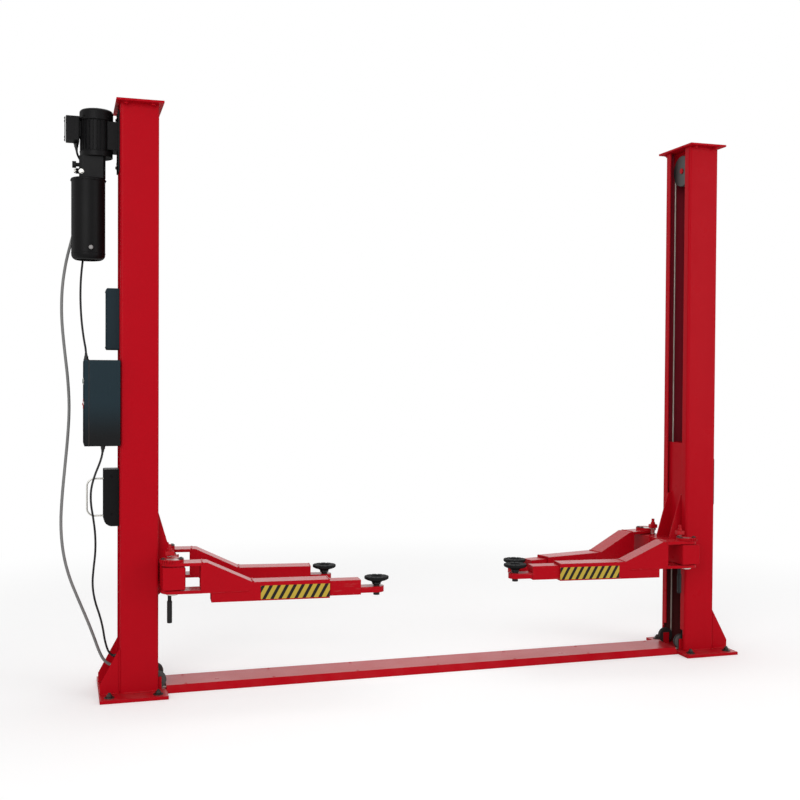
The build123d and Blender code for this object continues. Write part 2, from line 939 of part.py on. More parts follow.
def extension_shape(reach):
    """The inner tube and tongue of an arm whose pad stands at this reach."""
    tube_nose = reach - tongue_reach
    width = arm_width - 2 * arm_wall - 2 * slide_gap
    height = tube_height - 2 * arm_wall - slide_gap - running_gap
    low = tube_bottom + arm_wall + running_gap
    with BuildPart() as extension:
        with BuildSketch(Plane.YZ.offset(tube_nose - extension_length)):
            with Locations((0, low + height / 2)):
                Rectangle(width, height)
                Rectangle(
                    width - 2 * extension_wall, height - 2 * extension_wall, mode=Mode.SUBTRACT
                )
        extrude(amount=extension_length)
        with BuildSketch(Plane.YZ.offset(tube_nose - nose_plate)):
            with Locations((0, low + height / 2)):
                Rectangle(width, height)
        extrude(amount=nose_plate)
        with BuildSketch(Plane.XY.offset(tongue_bottom)):
            with Locations((reach - (tongue_reach + tongue_lap) / 2, 0)):
                Rectangle(tongue_reach + tongue_lap, tongue_width)
            with Locations((reach, 0)):
                Circle(tongue_width / 2)
                Circle(screw_radius + running_gap, mode=Mode.SUBTRACT)
        extrude(amount=tongue_thickness)
    return extension.part


def pad_screw_shape(reach):
    """The pad's screw and the round plate on its head."""
    plate_bottom = pad_top - pad_thickness - pad_plate
    with BuildPart() as pad_screw:
        with Locations((reach, 0, screw_bottom)):
            Cylinder(
                screw_radius,
                plate_bottom - screw_bottom,
                align=(Align.CENTER, Align.CENTER, Align.MIN),
            )
        with Locations((reach, 0, plate_bottom)):
            Cylinder(
                pad_plate_radius, pad_plate, align=(Align.CENTER, Align.CENTER, Align.MIN)
            )
    return pad_screw.part


def pad_shape(reach):
    """The round rubber pad, with a dished middle and ribs around it."""
    with BuildPart() as pad:
        with Locations((reach, 0, pad_top - pad_thickness)):
            Cylinder(pad_radius, pad_thickness, align=(Align.CENTER, Align.CENTER, Align.MIN))
        fillet(pad.edges().group_by(Axis.Z)[-1], radius=pad_edge)
        with Locations((reach, 0, pad_top)):
            CounterBoreHole(
                pad_bolt_radius, pad_dish_radius, pad_dish_depth, depth=pad_thickness / 2
            )
            with PolarLocations(0, pad_rib_count):
                with Locations((pad_rib_place, 0)):
                    Box(pad_rib_length, pad_rib_width, 2 * pad_rib_depth, mode=Mode.SUBTRACT)
    return pad.part


# Arms, extensions and pads, set down on their pins at the angles and reaches at rest
arm_rest = {
    ("left", "front"): (left_front_reach, left_front_turn),
    ("left", "rear"): (left_rear_reach, left_rear_turn),
    ("right", "front"): (right_front_reach, right_front_turn),
    ("right", "rear"): (right_rear_reach, right_rear_turn),
}
shared_arm = arm_shape()
for (side, row), (reach, turn) in arm_rest.items():
    pin_x = bay(pin_reach) if side == "left" else -bay(pin_reach)
    pin_y = -pin_span / 2 if row == "front" else pin_span / 2
    spot = Location((pin_x, pin_y, 0), (0, 0, turn))
    pieces = {
        "arm": shared_arm,
        "extension": extension_shape(reach),
        "pad_screw": pad_screw_shape(reach),
        "pad": pad_shape(reach),
    }
    for kind, shape in pieces.items():
        with BuildPart() as placed:
            with Locations(spot):
                add(shape)
        keep(f"{side}_{row}_{kind}", placed)

# Power unit: motor with fins and cowl, terminal box, pump block, tank, bracket
motor_height = motor_top - motor_bottom
motor_x = out(motor_out)
with BuildPart() as motor:
    with Locations((motor_x, 0, motor_bottom)):
        Cylinder(motor_radius, motor_height, align=(Align.CENTER, Align.CENTER, Align.MIN))
        Cylinder(
            motor_bell_radius, motor_bell_height, align=(Align.CENTER, Align.CENTER, Align.MIN)
        )
    with Locations((motor_x, 0, motor_top)):
        Cylinder(
            motor_bell_radius + motor_cowl_margin,
            motor_cowl_height,
            align=(Align.CENTER, Align.CENTER, Align.MAX),
        )
    fillet(motor.edges().group_by(Axis.Z)[-1], radius=motor_cowl_edge)
    with Locations((motor_x, 0, motor_bottom + motor_height / 2)):
        with PolarLocations(motor_radius, fin_count):
            Box(2 * fin_height, fin_thickness, motor_height - 2 * fin_end_gap)

terminal_seat = motor_bell_radius + motor_cowl_margin + running_gap
terminal_middle = (terminal_bottom + terminal_top) / 2
terminal_height = terminal_top - terminal_bottom
terminal_edge = motor_out + terminal_seat
with BuildPart() as terminal_box:
    with Locations((out(terminal_edge + terminal_depth / 2), 0, terminal_middle)):
        Box(terminal_depth, terminal_width, terminal_height)
        fillet(terminal_box.edges().filter_by(Axis.Z), radius=box_corner)
    with Locations((out(terminal_edge - terminal_collar), 0, terminal_middle)):
        Box(
            2 * terminal_collar,
            terminal_collar_width,
            terminal_collar_height,
            align=(Align.MAX, Align.CENTER, Align.CENTER),
        )
    with Locations((motor_x, 0, terminal_middle)):
        Cylinder(terminal_seat, terminal_height, mode=Mode.SUBTRACT)
with BuildPart() as motor_set:
    add(motor.part)
    add(terminal_box.part)
keep("motor", motor_set)

pump_x = out(pump_out + pump_width / 2)
pump_face = out(pump_out + pump_width)
hose_route = cord_route(hose_points, hose_entry_height, pump_bottom + hose_fitting_rise)
with BuildPart() as pump_block:
    with Locations((pump_x, 0, (pump_bottom + pump_top) / 2)):
        Box(pump_width, pump_depth, pump_top - pump_bottom)
    chamfer(pump_block.edges().filter_by(Axis.Z), length=pump_chamfer)
    with BuildSketch(Plane.YZ.offset(pump_face)):
        with Locations((-knob_side, pump_bottom + knob_rise)):
            Circle(knob_stem_radius)
        with Locations((pump_plug_side, pump_bottom + pump_plug_rise)):
            Circle(pump_plug_radius)
    extrude(amount=-knob_stem_length)
    with BuildSketch(Plane.YZ.offset(pump_face - knob_stem_length)):
        with Locations((-knob_side, pump_bottom + knob_rise)):
            Circle(knob_radius)
    extrude(amount=-knob_length)
    with BuildSketch(Plane.XZ.offset(-pump_depth / 2)):
        with Locations((hose_route[0][0], elbow_height)):
            Circle(elbow_radius)
    extrude(amount=-elbow_reach)
    with Locations(hose_route[0]):
        Cylinder(
            elbow_radius,
            elbow_height + elbow_radius - hose_route[0][2],
            align=(Align.CENTER, Align.CENTER, Align.MIN),
        )
keep("pump_block", pump_block)

with BuildPart() as tank:
    with Locations((out(tank_out), 0, tank_bottom)):
        Cylinder(
            tank_radius, pump_bottom - tank_bottom, align=(Align.CENTER, Align.CENTER, Align.MIN)
        )
    fillet(tank.edges().group_by(Axis.Z)[0], radius=tank_edge)
    with BuildSketch(Plane.XZ.offset(tank_radius - tank_plug_sink)):
        with Locations((out(tank_out - tank_plug_side), tank_bottom + tank_plug_rise)):
            Circle(tank_plug_radius)
    extrude(amount=tank_plug_sink + tank_plug_length)
keep("tank", tank)

with BuildPart() as power_bracket:
    with Locations((out(bracket_plate / 2), 0, (pump_bottom + pump_top) / 2)):
        Box(bracket_plate, bracket_width, pump_top - pump_bottom + 2 * bracket_margin)
    with Locations((out((pump_out + bracket_plate) / 2), 0, pump_bottom + knob_rise)):
        Box(pump_out - bracket_plate, bracket_shelf_width, bracket_shelf)
    for row in (-1, 1):
        with BuildSketch(Plane.XZ.offset(-row * bracket_rib_side - bracket_rib / 2)):
            with BuildLine():
                Polyline(
                    (out(bracket_plate), pump_bottom + knob_rise - bracket_rib_drop),
                    (out(bracket_plate), pump_bottom + knob_rise),
                    (out(pump_out), pump_bottom + knob_rise),
                    close=True,
                )
            make_face()
        extrude(amount=bracket_rib)
keep("power_bracket", power_bracket)

# Boxes on the columns
with BuildPart() as junction_box:
    with Locations((out(junction_out / 2), 0, (junction_bottom + junction_top) / 2)):
        Box(junction_out, junction_width, junction_top - junction_bottom)
    fillet(junction_box.edges().filter_by(Axis.X), radius=box_corner)
keep("junction_box", junction_box)

with BuildPart() as control_box:
    with Locations((out(control_out / 2), 0, (control_bottom + control_top) / 2)):
        Box(control_out, control_width, control_top - control_bottom)
    fillet(control_box.edges().filter_by(Axis.X), radius=box_corner)
keep("control_box", control_box)

with BuildPart() as lock_cover:
    with BuildSketch(Plane.XZ.offset(-lock_width / 2)):
        with Locations((out(lock_out / 2), (lock_bottom + lock_top) / 2)):
            Rectangle(lock_out, lock_top - lock_bottom)
    extrude(amount=lock_width)
    fillet(
        lock_cover.edges().filter_by(Axis.Y).group_by(Axis.X)[0].sort_by(Axis.Z)[0],
        radius=lock_corner,
    )
    fillet(
        lock_cover.edges().filter_by(Axis.Y).group_by(Axis.X)[0].sort_by(Axis.Z)[-1],
        radius=box_corner,
    )
keep_pair("lock_cover", lock_cover)

# Release handle: a rod bent into a loop, standing out from the left lock cover
handle_foot = out(lock_out)
handle_far = out(handle_out)
with BuildPart() as release_handle:
    with BuildLine() as handle_path:
        FilletPolyline(
            (handle_foot, -handle_side, handle_top),
            (handle_far, -handle_side, handle_top),
            (handle_far, -handle_side, handle_bottom),
            (handle_foot, -handle_side, handle_bottom),
            radius=handle_bend,
        )
    with BuildSketch(Plane.YZ.offset(handle_foot)):
        with Locations((-handle_side, handle_top)):
            Circle(handle_rod_radius)
    sweep(path=handle_path.wire())
keep("release_handle", release_handle)

# Cords
cord_tube("hydraulic_hose", hose_route, hose_radius)
cord_tube(
    "motor_cable", cord_route(motor_cable_points, control_top, terminal_bottom), motor_cable_radius
)
cord_tube(
    "control_cable",
    cord_route(control_cable_points, control_entry_height, control_bottom),
    control_cable_radius,
)
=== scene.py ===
import json
from math import atan2, cos, pi, radians, sin

import bmesh
import bpy
import numpy as np
from bpy.props import FloatProperty, FloatVectorProperty, PointerProperty
from mathutils import Matrix


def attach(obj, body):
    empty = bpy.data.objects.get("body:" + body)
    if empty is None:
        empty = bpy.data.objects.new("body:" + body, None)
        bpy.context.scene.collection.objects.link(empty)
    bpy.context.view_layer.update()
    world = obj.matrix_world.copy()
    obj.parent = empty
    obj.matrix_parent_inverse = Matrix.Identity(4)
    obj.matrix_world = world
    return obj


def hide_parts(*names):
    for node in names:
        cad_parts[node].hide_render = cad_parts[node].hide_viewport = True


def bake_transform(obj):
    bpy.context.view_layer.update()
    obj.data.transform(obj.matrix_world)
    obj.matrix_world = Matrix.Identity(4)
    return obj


bl_info = {
    "name": "Two Post Lift Finish",
    "version": (1, 0, 0),
    "blender": (4, 5, 0),
    "location": "3D View > Sidebar > Lift",
    "description": "Paint, fasteners, welds, ropes, chains, cords and stage for the two post lift",
    "category": "Object",
}

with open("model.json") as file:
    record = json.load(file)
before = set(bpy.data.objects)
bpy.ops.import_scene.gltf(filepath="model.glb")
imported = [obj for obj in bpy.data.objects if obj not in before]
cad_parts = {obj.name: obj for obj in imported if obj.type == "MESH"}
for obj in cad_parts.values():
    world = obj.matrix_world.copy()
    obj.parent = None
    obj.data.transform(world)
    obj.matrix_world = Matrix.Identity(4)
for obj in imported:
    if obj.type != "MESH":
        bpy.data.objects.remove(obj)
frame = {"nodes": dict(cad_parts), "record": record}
nodes = frame["nodes"]

# Places on the lift in metres: +X runs from the left column to the right, and -Y is the front
SIDES = {"left": -1, "right": 1}
ROWS = {"front": -1, "rear": 1}

# The columns' bay side and far side, the middle between them, and their caps and bases
INNER = 1.435
OUTER = 1.615
COLUMN_X = (INNER + OUTER) / 2
HALF_DEPTH = 0.125
BEND = 0.013
TOP = 2.824
CAP_UNDER = 2.814
BASE_TOP = 0.016
BASE_X = 1.5525

# Painted shade in a column's channel starts between these depths under its outer faces, inside its
# 6 mm wall
SHADE_STARTS = (0.0048, 0.0056)
SHADE_SHARE = 0.92
SHADE_TOP = (0.225, 0.018, 0.030)
SHADE_FOOT = (0.080, 0.024, 0.024)

# The pins of the arms, the release rods, the cylinders, ropes and chains
PIN_X = 1.380
PIN_Y = 0.220
ROD_X = 1.385
ROD_Y = 0.144
CYLINDER_X = 1.530
ROPE_X = 1.473
CHAIN_Y = 0.052
CHAIN_FIXED_Z = 2.024

# The carriages' beams, and the arms: each arm's pad reach and its turn in degrees
FORK_TOP = 0.650
FORK_BOTTOM = 0.505
BEAM_BOTTOM = 0.525
BEAM_TOP = 0.630
BEAM_END = 0.275
BEAM_FACE = 1.325
BEAM_IN = 0.006
TUBE_TOP = 0.550
ARM_HALF = 0.050
ARMS = {
    ("left", "front"): (0.985, -4.0),
    ("left", "rear"): (0.820, -7.8),
    ("right", "front"): (0.978, 175.2),
    ("right", "rear"): (0.936, 192.7),
}

# The lock covers, the power unit and the boxes on the left column
LOCK_DEPTH = {"left": 0.072, "right": 0.044}
LOCK_HALF = 0.055
LOCK_LOW = 0.806
LOCK_HIGH = 1.079
MOTOR_X = -1.720
MOTOR_TOP = 2.791
MOTOR_RADIUS = 0.0775
TERMINAL_Z = 2.696
PUMP_FACE = -1.799
PUMP_Z = 2.505
TANK_X = -1.757
CONTROL_FACE = -1.7786
CONTROL_Z = 1.3975
JUNCTION_Z = 1.7975

# The camera: its place, and its yaw, pitch and roll in degrees
CAMERA_PLACE = (-1.884, -5.480, 1.517)
CAMERA_TURN = (17.155, 1.07, 0.339)

# The cords' routes, as the control points of their curves
HOSE_POINTS = [
    (-1.785, 0.100, 2.468), (-1.785, 0.100, 2.422), (-1.795, 0.098, 2.345), (-1.813, 0.092, 2.255),
    (-1.837, 0.080, 2.165), (-1.861, 0.056, 2.065), (-1.878, 0.034, 1.940), (-1.880, 0.020, 1.800),
    (-1.866, 0.010, 1.650), (-1.850, 0.002, 1.510), (-1.843, -0.003, 1.370),
    (-1.851, -0.006, 1.230), (-1.864, -0.008, 1.090), (-1.877, -0.009, 0.950),
    (-1.884, -0.007, 0.815), (-1.874, -0.004, 0.685), (-1.846, 0.000, 0.565),
    (-1.802, 0.004, 0.452), (-1.764, 0.008, 0.358), (-1.731, 0.011, 0.270), (-1.708, 0.012, 0.200),
    (-1.687, 0.012, 0.154), (-1.665, 0.012, 0.131), (-1.640, 0.012, 0.120), (-1.615, 0.012, 0.120),
]
MOTOR_CABLE_POINTS = [
    (-1.812, 0.036, 2.640), (-1.812, 0.036, 2.608), (-1.804, 0.052, 2.580), (-1.782, 0.078, 2.552),
    (-1.758, 0.098, 2.510), (-1.746, 0.106, 2.440), (-1.748, 0.107, 2.350), (-1.757, 0.104, 2.250),
    (-1.770, 0.098, 2.160), (-1.783, 0.080, 2.070), (-1.791, 0.052, 1.985), (-1.793, 0.032, 1.890),
    (-1.788, 0.022, 1.790), (-1.777, 0.018, 1.700), (-1.766, 0.016, 1.645), (-1.766, 0.016, 1.600),
]
CONTROL_CABLE_POINTS = [
    (-1.690, -0.040, 1.195), (-1.690, -0.040, 1.160), (-1.704, -0.043, 1.110),
    (-1.728, -0.046, 1.052), (-1.746, -0.046, 0.985), (-1.746, -0.042, 0.915),
    (-1.734, -0.034, 0.845), (-1.724, -0.024, 0.765), (-1.723, -0.014, 0.680),
    (-1.732, -0.006, 0.600), (-1.738, 0.000, 0.520), (-1.726, 0.000, 0.440), (-1.702, 0.000, 0.368),
    (-1.688, -0.003, 0.308), (-1.680, -0.006, 0.252), (-1.668, -0.006, 0.206),
    (-1.655, -0.006, 0.182), (-1.636, -0.006, 0.170), (-1.615, -0.006, 0.170),
]

# Sizes and colours that a user would change

class LiftPaint(bpy.types.PropertyGroup):
    coat: FloatVectorProperty(
        name="Powder Coat", description="Colour of the columns, arms and bases",
        subtype="COLOR", size=3, min=0, max=1, default=(0.445, 0.0035, 0.0105),
    )
    enamel: FloatVectorProperty(
        name="Unit Enamel", description="Colour of the motor, tank and covers",
        subtype="COLOR", size=3, min=0, max=1, default=(0.0068, 0.0066, 0.0070),
    )
    box: FloatVectorProperty(
        name="Box Colour", description="Colour of the control box and junction box",
        subtype="COLOR", size=3, min=0, max=1, default=(0.0135, 0.0265, 0.0345),
    )
    stripe_light: FloatVectorProperty(
        name="Stripe Yellow", description="Light colour of the stripes on the arms",
        subtype="COLOR", size=3, min=0, max=1, default=(0.49, 0.350, 0.045),
    )
    stripe_dark: FloatVectorProperty(
        name="Stripe Black", description="Dark colour of the stripes on the arms",
        subtype="COLOR", size=3, min=0, max=1, default=(0.012, 0.010, 0.010),
    )
    stripe_pitch: FloatProperty(
        name="Stripe Pitch", description="Length of one light and one dark stripe along the arm",
        unit="LENGTH", min=0.01, default=0.0385,
    )
    stripe_lean: FloatProperty(
        name="Stripe Lean", description="How far a stripe leans for each unit of its height",
        min=-3, max=3, default=0.55,
    )
    wear: FloatProperty(
        name="Edge Wear", description="Share of the edges on which the paint is rubbed",
        subtype="FACTOR", min=0, max=1, default=0.22,
    )


class LiftHardware(bpy.types.PropertyGroup):
    anchor_flats: FloatProperty(
        name="Anchor Nut", description="Width of the anchor nuts across their flats",
        unit="LENGTH", min=0.01, default=0.024,
    )
    screw_flats: FloatProperty(
        name="Screw Head", description="Width of the small hexagon heads across their flats",
        unit="LENGTH", min=0.005, default=0.013,
    )
    weld: FloatProperty(
        name="Weld Radius", description="Radius of the weld beads",
        unit="LENGTH", min=0.001, default=0.0042,
    )
    rope: FloatProperty(
        name="Rope Diameter", description="Diameter of the equalising ropes",
        unit="LENGTH", min=0.004, default=0.010,
    )
    lay: FloatProperty(
        name="Rope Lay", description="Length in which a strand goes once round the rope",
        unit="LENGTH", min=0.02, default=0.066,
    )


class LiftCords(bpy.types.PropertyGroup):
    hose: FloatProperty(
        name="Hose Diameter", description="Outer diameter of the hydraulic hose",
        unit="LENGTH", min=0.004, default=0.014,
    )
    cable: FloatProperty(
        name="Cable Diameter", description="Outer diameter of the electric cables",
        unit="LENGTH", min=0.003, default=0.010,
    )


class LiftStage(bpy.types.PropertyGroup):
    lens: FloatProperty(
        name="Lens", description="Focal length of the camera in millimetres", min=10,
        default=49.505,
    )
    key: FloatProperty(
        name="Key Light", description="Power of the large light in front", min=0, default=228,
    )
    fill: FloatProperty(
        name="Fill Light", description="Power of the light on the other side", min=0, default=120,
    )
    sky: FloatProperty(
        name="Surround", description="Strength of the even light from all round", min=0,
        default=0.50,
    )
    floor: FloatVectorProperty(
        name="Floor", description="Colour of the floor", subtype="COLOR", size=3, min=0, max=1,
        default=(0.80, 0.80, 0.80),
    )
    glow: FloatProperty(
        name="Floor Glow", description="Light that the camera sees on the floor beside the lamps'",
        min=0, max=1, default=0.28,
    )


# Surfaces: grids of points worked out as whole arrays

def skin(points, ring=True, ends=True):
    """A grid of points as faces: rows follow the first parameter, columns the second.
    A ring joins its last column to its first, and ends close the first and last rows with fans."""
    rows, columns = points.shape[:2]
    index = np.arange(rows * columns).reshape(rows, columns)
    after = np.roll(index, -1, 1)
    here, there = (index, after) if ring else (index[:, :-1], index[:, 1:])
    quads = np.stack([here[:-1], there[:-1], there[1:], here[1:]], -1).reshape(-1, 4)
    verts, tris = points.reshape(-1, 3), np.empty((0, 3), int)
    if ring and ends:
        middles = np.stack([points[0].mean(0), points[-1].mean(0)])
        first, last = np.full(columns, len(verts)), np.full(columns, len(verts) + 1)
        tris = np.concatenate([
            np.stack([first, after[0], index[0]], -1),
            np.stack([last, index[-1], after[-1]], -1),
        ])
        verts = np.concatenate([verts, middles])
    return verts, quads, tris


def joined(*surfaces):
    """Several surfaces as one, each with its own faces."""
    verts, quads, tris, start = [], [], [], 0
    for v, q, t in surfaces:
        verts.append(v)
        quads.append(q + start)
        tris.append(t + start)
        start += len(v)
    return np.concatenate(verts), np.concatenate(quads), np.concatenate(tris)


def placed(surface, *matrices):
    """Copies of a surface, each turned and moved by a matrix: p' = R p + t."""
    verts, quads, tris = surface
    m = np.array([np.array(matrix) for matrix in matrices])
    count, size = len(m), len(verts)
    moved = np.einsum("kij,nj->kni", m[:, :3, :3], verts) + m[:, None, :3, 3]
    step = (np.arange(count) * size)[:, None, None]
    return moved.reshape(-1, 3), (quads + step).reshape(-1, 4), (tris + step).reshape(-1, 3)


def at(x, y, z, turn=None):
    """Matrix that turns a surface and then moves its origin to a point."""
    return Matrix.Translation((x, y, z)) @ (turn or Matrix())


def facing(direction):
    """Rotation that takes +Z to a direction."""
    x, y, z = direction
    level = (x * x + y * y) ** 0.5
    return Matrix.Rotation(atan2(y, x), 4, "Z") @ Matrix.Rotation(atan2(level, z), 4, "Y")


def turned(profile, sides=32):
    """A profile of (radius, height) turned about Z: (r cos a, r sin a, z)."""
    r, z = np.array(profile, float).T
    a = np.arange(sides) * 2 * pi / sides
    ring = np.stack([np.cos(a), np.sin(a)], -1)
    xy = r[:, None, None] * ring[None]
    return skin(np.concatenate([xy, np.broadcast_to(z[:, None, None], (len(r), sides, 1))], -1))


def hexagon(flats, height, start=0.0, sides=36):
    """A chamfered hexagonal nut or head: at each level the radius is the hexagon's,
    (f/2) / cos(a mod 60 - 30), or that of a 30 degree cone about Z where the cone is smaller."""
    a = np.arange(sides) * 2 * pi / sides
    six = flats / 2 / np.cos(np.mod(a, pi / 3) - pi / 6)
    edge = 0.12 * flats
    z = np.array([0, edge * 0.5, edge, height - edge, height - edge * 0.5, height])
    cone = 0.47 * flats + np.minimum(z, height - z) * 1.4
    r = np.minimum(six[None], cone[:, None])
    return skin(np.stack([r * np.cos(a), r * np.sin(a),
                          np.broadcast_to((start + z)[:, None], r.shape)], -1))


def threaded(radius, low, high, pitch=0.0022, depth=0.0007, sides=14):
    """A threaded rod's end: r = R - d |saw(z / pitch - a / 2 pi)|, four rows to a turn."""
    a = np.arange(sides) * 2 * pi / sides
    z = np.arange(low, high, pitch / 4)
    wave = np.abs(np.mod(z[:, None] / pitch - a[None] / (2 * pi), 1) * 2 - 1)
    r = radius - depth * wave
    r[-2:] *= 0.93
    return skin(np.stack([r * np.cos(a), r * np.sin(a), np.broadcast_to(z[:, None], r.shape)], -1))


def washer(radius, thickness, start=0.0):
    """A washer with broken edges, as a turned profile."""
    e = 0.25 * thickness
    return turned([(radius - e, start), (radius, start + e), (radius, start + thickness - e),
                   (radius - e, start + thickness)])


def bolt(flats, head, stud=0.0, reach=0.0):
    """A washer and a hexagon head, with a stud's threaded end standing out of it."""
    disc = 0.16 * flats
    pieces = [washer(0.98 * flats, disc), hexagon(flats, head, disc)]
    if stud:
        pieces.append(threaded(stud, disc + head - 0.001, disc + head + reach))
    return joined(*pieces)


def cap_screw(radius, height):
    """A round screw head with a sunk middle, as a turned profile."""
    return turned([(radius, 0), (radius, 0.8 * height), (0.85 * radius, height),
                   (0.5 * radius, height), (0.45 * radius, 0.5 * height)], 18)


def torus(radius, thick, columns=10, sides=72):
    """A ring: ((R + r cos b) cos a, (R + r cos b) sin a, r sin b)."""
    a, b = np.meshgrid(np.arange(sides + 1) * 2 * pi / sides, np.arange(columns) * 2 * pi / columns,
                       indexing="ij")
    w = radius + thick * np.cos(b)
    verts, quads, tris = skin(np.stack([w * np.cos(a), w * np.sin(a), thick * np.sin(b)], -1),
                              ends=False)
    size = sides * columns
    return verts[:size], np.where(quads >= size, quads - size, quads), tris


def tube(path, radius, columns=12, up=(0, 0, 1)):
    """A circle carried along a path: p(s) + r(s) (n cos a + b sin a), with n square to the path
    and up, and b square to both."""
    path = np.array(path, float)
    run = np.gradient(path, axis=0)
    run /= np.linalg.norm(run, axis=1)[:, None]
    n = np.cross(run, np.array(up, float))
    n /= np.linalg.norm(n, axis=1)[:, None]
    b = np.cross(run, n)
    a = np.arange(columns) * 2 * pi / columns
    r = np.broadcast_to(np.array(radius, float), len(path))[:, None, None]
    return skin(path[:, None] + r * (n[:, None] * np.cos(a)[:, None] + b[:, None]
                                     * np.sin(a)[:, None]))


def line(start, end, step):
    """Points from start to end, about a step apart."""
    start, end = np.array(start, float), np.array(end, float)
    count = max(3, int(np.linalg.norm(end - start) / step) + 1)
    return start + np.linspace(0, 1, count)[:, None] * (end - start)


def bead(start, end, radius, up=(0, 0, 1)):
    """A weld bead between two points: a tube with r = R (0.86 + 0.14 |sin(pi s / ripple)|), whose
    ends are drawn in and closed."""
    path = line(start, end, 0.0021)
    s = np.linspace(0, np.linalg.norm(path[-1] - path[0]), len(path))
    ripple = radius * (0.86 + 0.14 * np.abs(np.sin(pi * s / 0.0066)))
    taper = np.clip(np.minimum(s, s[-1] - s) / radius, 0.25, 1) ** 0.5
    return tube(path, ripple * taper, 8, up)


def plate(width, height, thickness, corner, edge, sides=40):
    """A rounded plate in XY rising along Z: the outline is a rounded rectangle
    q(a) = c(a) + k (cos a, sin a), and it shrinks by the edge's quarter circle towards the top."""
    a = (np.arange(sides) + 0.5) * 2 * pi / sides
    turn = np.stack([np.cos(a), np.sin(a)], -1)
    middle = np.sign(turn) * (np.array([width, height]) / 2 - corner)
    rise = np.array([0.0, 0.0, 0.35, 0.75, 1.0, 1.0]) * edge
    inset = edge * (1 - np.sqrt(np.clip(1 - (rise / edge) ** 2, 0, 1)))
    inset[-1] += edge
    z = thickness - edge + rise
    z[0] = 0
    k = (corner - np.minimum(inset, corner * 0.9))[:, None, None]
    xy = middle[None] + k * turn[None]
    return skin(np.concatenate([xy, np.broadcast_to(z[:, None, None], xy.shape[:2] + (1,))], -1))


def spring(radius, wire, low, high, turns, columns=8):
    """A coil: the centre line is (R cos t, R sin t, z) with z rising evenly from low to high."""
    t = np.linspace(0, 2 * pi * turns, int(turns * 20))
    path = np.stack([radius * np.cos(t), radius * np.sin(t), np.linspace(low, high, len(t))], -1)
    return tube(path, wire / 2, columns)


# Rotations that turn +Z to -X, out from the left column, and that stand a plate up to face there
OUTWARD = facing((-1, 0, 0))
SIDE_ON = Matrix.Rotation(-pi / 2, 4, "Z") @ Matrix.Rotation(pi / 2, 4, "X")


def make_piece(name, surface, material, body=None, uv=None, smooth=38):
    """Puts a surface in a mesh, turns its faces outwards and lets it ride on its body.
    Edges sharper than smooth degrees stay sharp."""
    verts, quads, tris = surface
    mesh = bpy.data.meshes.new(name)
    loops = np.concatenate([quads.ravel(), tris.ravel()]).astype(np.int32)
    totals = np.concatenate([np.full(len(quads), 4), np.full(len(tris), 3)]).astype(np.int32)
    mesh.vertices.add(len(verts))
    mesh.vertices.foreach_set("co", verts.astype(np.float32).ravel())
    mesh.loops.add(len(loops))
    mesh.loops.foreach_set("vertex_index", loops)
    mesh.polygons.add(len(totals))
    mesh.polygons.foreach_set("loop_start", (np.cumsum(totals) - totals).astype(np.int32))
    mesh.polygons.foreach_set("loop_total", totals)
    mesh.update(calc_edges=True)
    if uv is not None:
        layer = mesh.uv_layers.new(name="Run")
        layer.data.foreach_set("uv", uv[loops].astype(np.float32).ravel())
    work = bmesh.new()
    work.from_mesh(mesh)
    bmesh.ops.recalc_face_normals(work, faces=work.faces)
    work.to_mesh(mesh)
    work.free()
    mesh.validate()
    mesh.polygons.foreach_set("use_smooth", np.ones(len(mesh.polygons), bool))
    mesh.set_sharp_from_angle(angle=radians(smooth))
    piece = bpy.data.objects.new(name, mesh)
    bpy.context.scene.collection.objects.link(piece)
    mesh.materials.append(material)
    if body:
        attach(piece, body)
    return piece


# Shared shader effects, each built once as a node group

def node(tree, kind, inputs=None, **settings):
    """Adds a node, sets its options, and gives each named or numbered input a value or a link."""
    made = tree.nodes.new(kind)
    for key, value in settings.items():
        setattr(made, key, value)
    for key, value in (inputs or {}).items():
        if isinstance(value, bpy.types.NodeSocket):
            tree.links.new(value, made.inputs[key])
        else:
            made.inputs[key].default_value = value
    return made


def math(tree, operation, *values, clamp=False):
    """A Math node's result."""
    return node(tree, "ShaderNodeMath", dict(enumerate(values)), operation=operation,
                use_clamp=clamp).outputs[0]


def times(tree, a, b, clamp=False):
    """The product of two values."""
    return math(tree, "MULTIPLY", a, b, clamp=clamp)


def less(tree, value):
    """One less a value."""
    return math(tree, "SUBTRACT", 1.0, value)


def object_place(tree):
    """The Object coordinates."""
    return tree.nodes.new("ShaderNodeTexCoord").outputs["Object"]


def parts(tree, vector):
    """The X, Y and Z of a vector."""
    return node(tree, "ShaderNodeSeparateXYZ", {0: vector}).outputs


def between(tree, value, low, high):
    """A value taken smoothly from low..high to 0..1."""
    made = node(tree, "ShaderNodeMapRange", {0: value, 1: low, 2: high},
                interpolation_type="SMOOTHSTEP")
    return made.outputs[0]


def mix(tree, share, a, b):
    """A blend of two colours."""
    made = tree.nodes.new("ShaderNodeMix")
    made.data_type = "RGBA"
    for key, value in ((0, share), (6, a), (7, b)):
        if isinstance(value, bpy.types.NodeSocket):
            tree.links.new(value, made.inputs[key])
        elif key == 0:
            made.inputs[key].default_value = value
        else:
            made.inputs[key].default_value = (*value[:3], 1)
    return made.outputs[2]


def noise(tree, place, scale, detail=3.0, rough=0.55):
    """A Noise Texture's value."""
    made = node(tree, "ShaderNodeTexNoise",
                {"Vector": place, "Scale": scale, "Detail": detail, "Roughness": rough})
    return made.outputs[0]


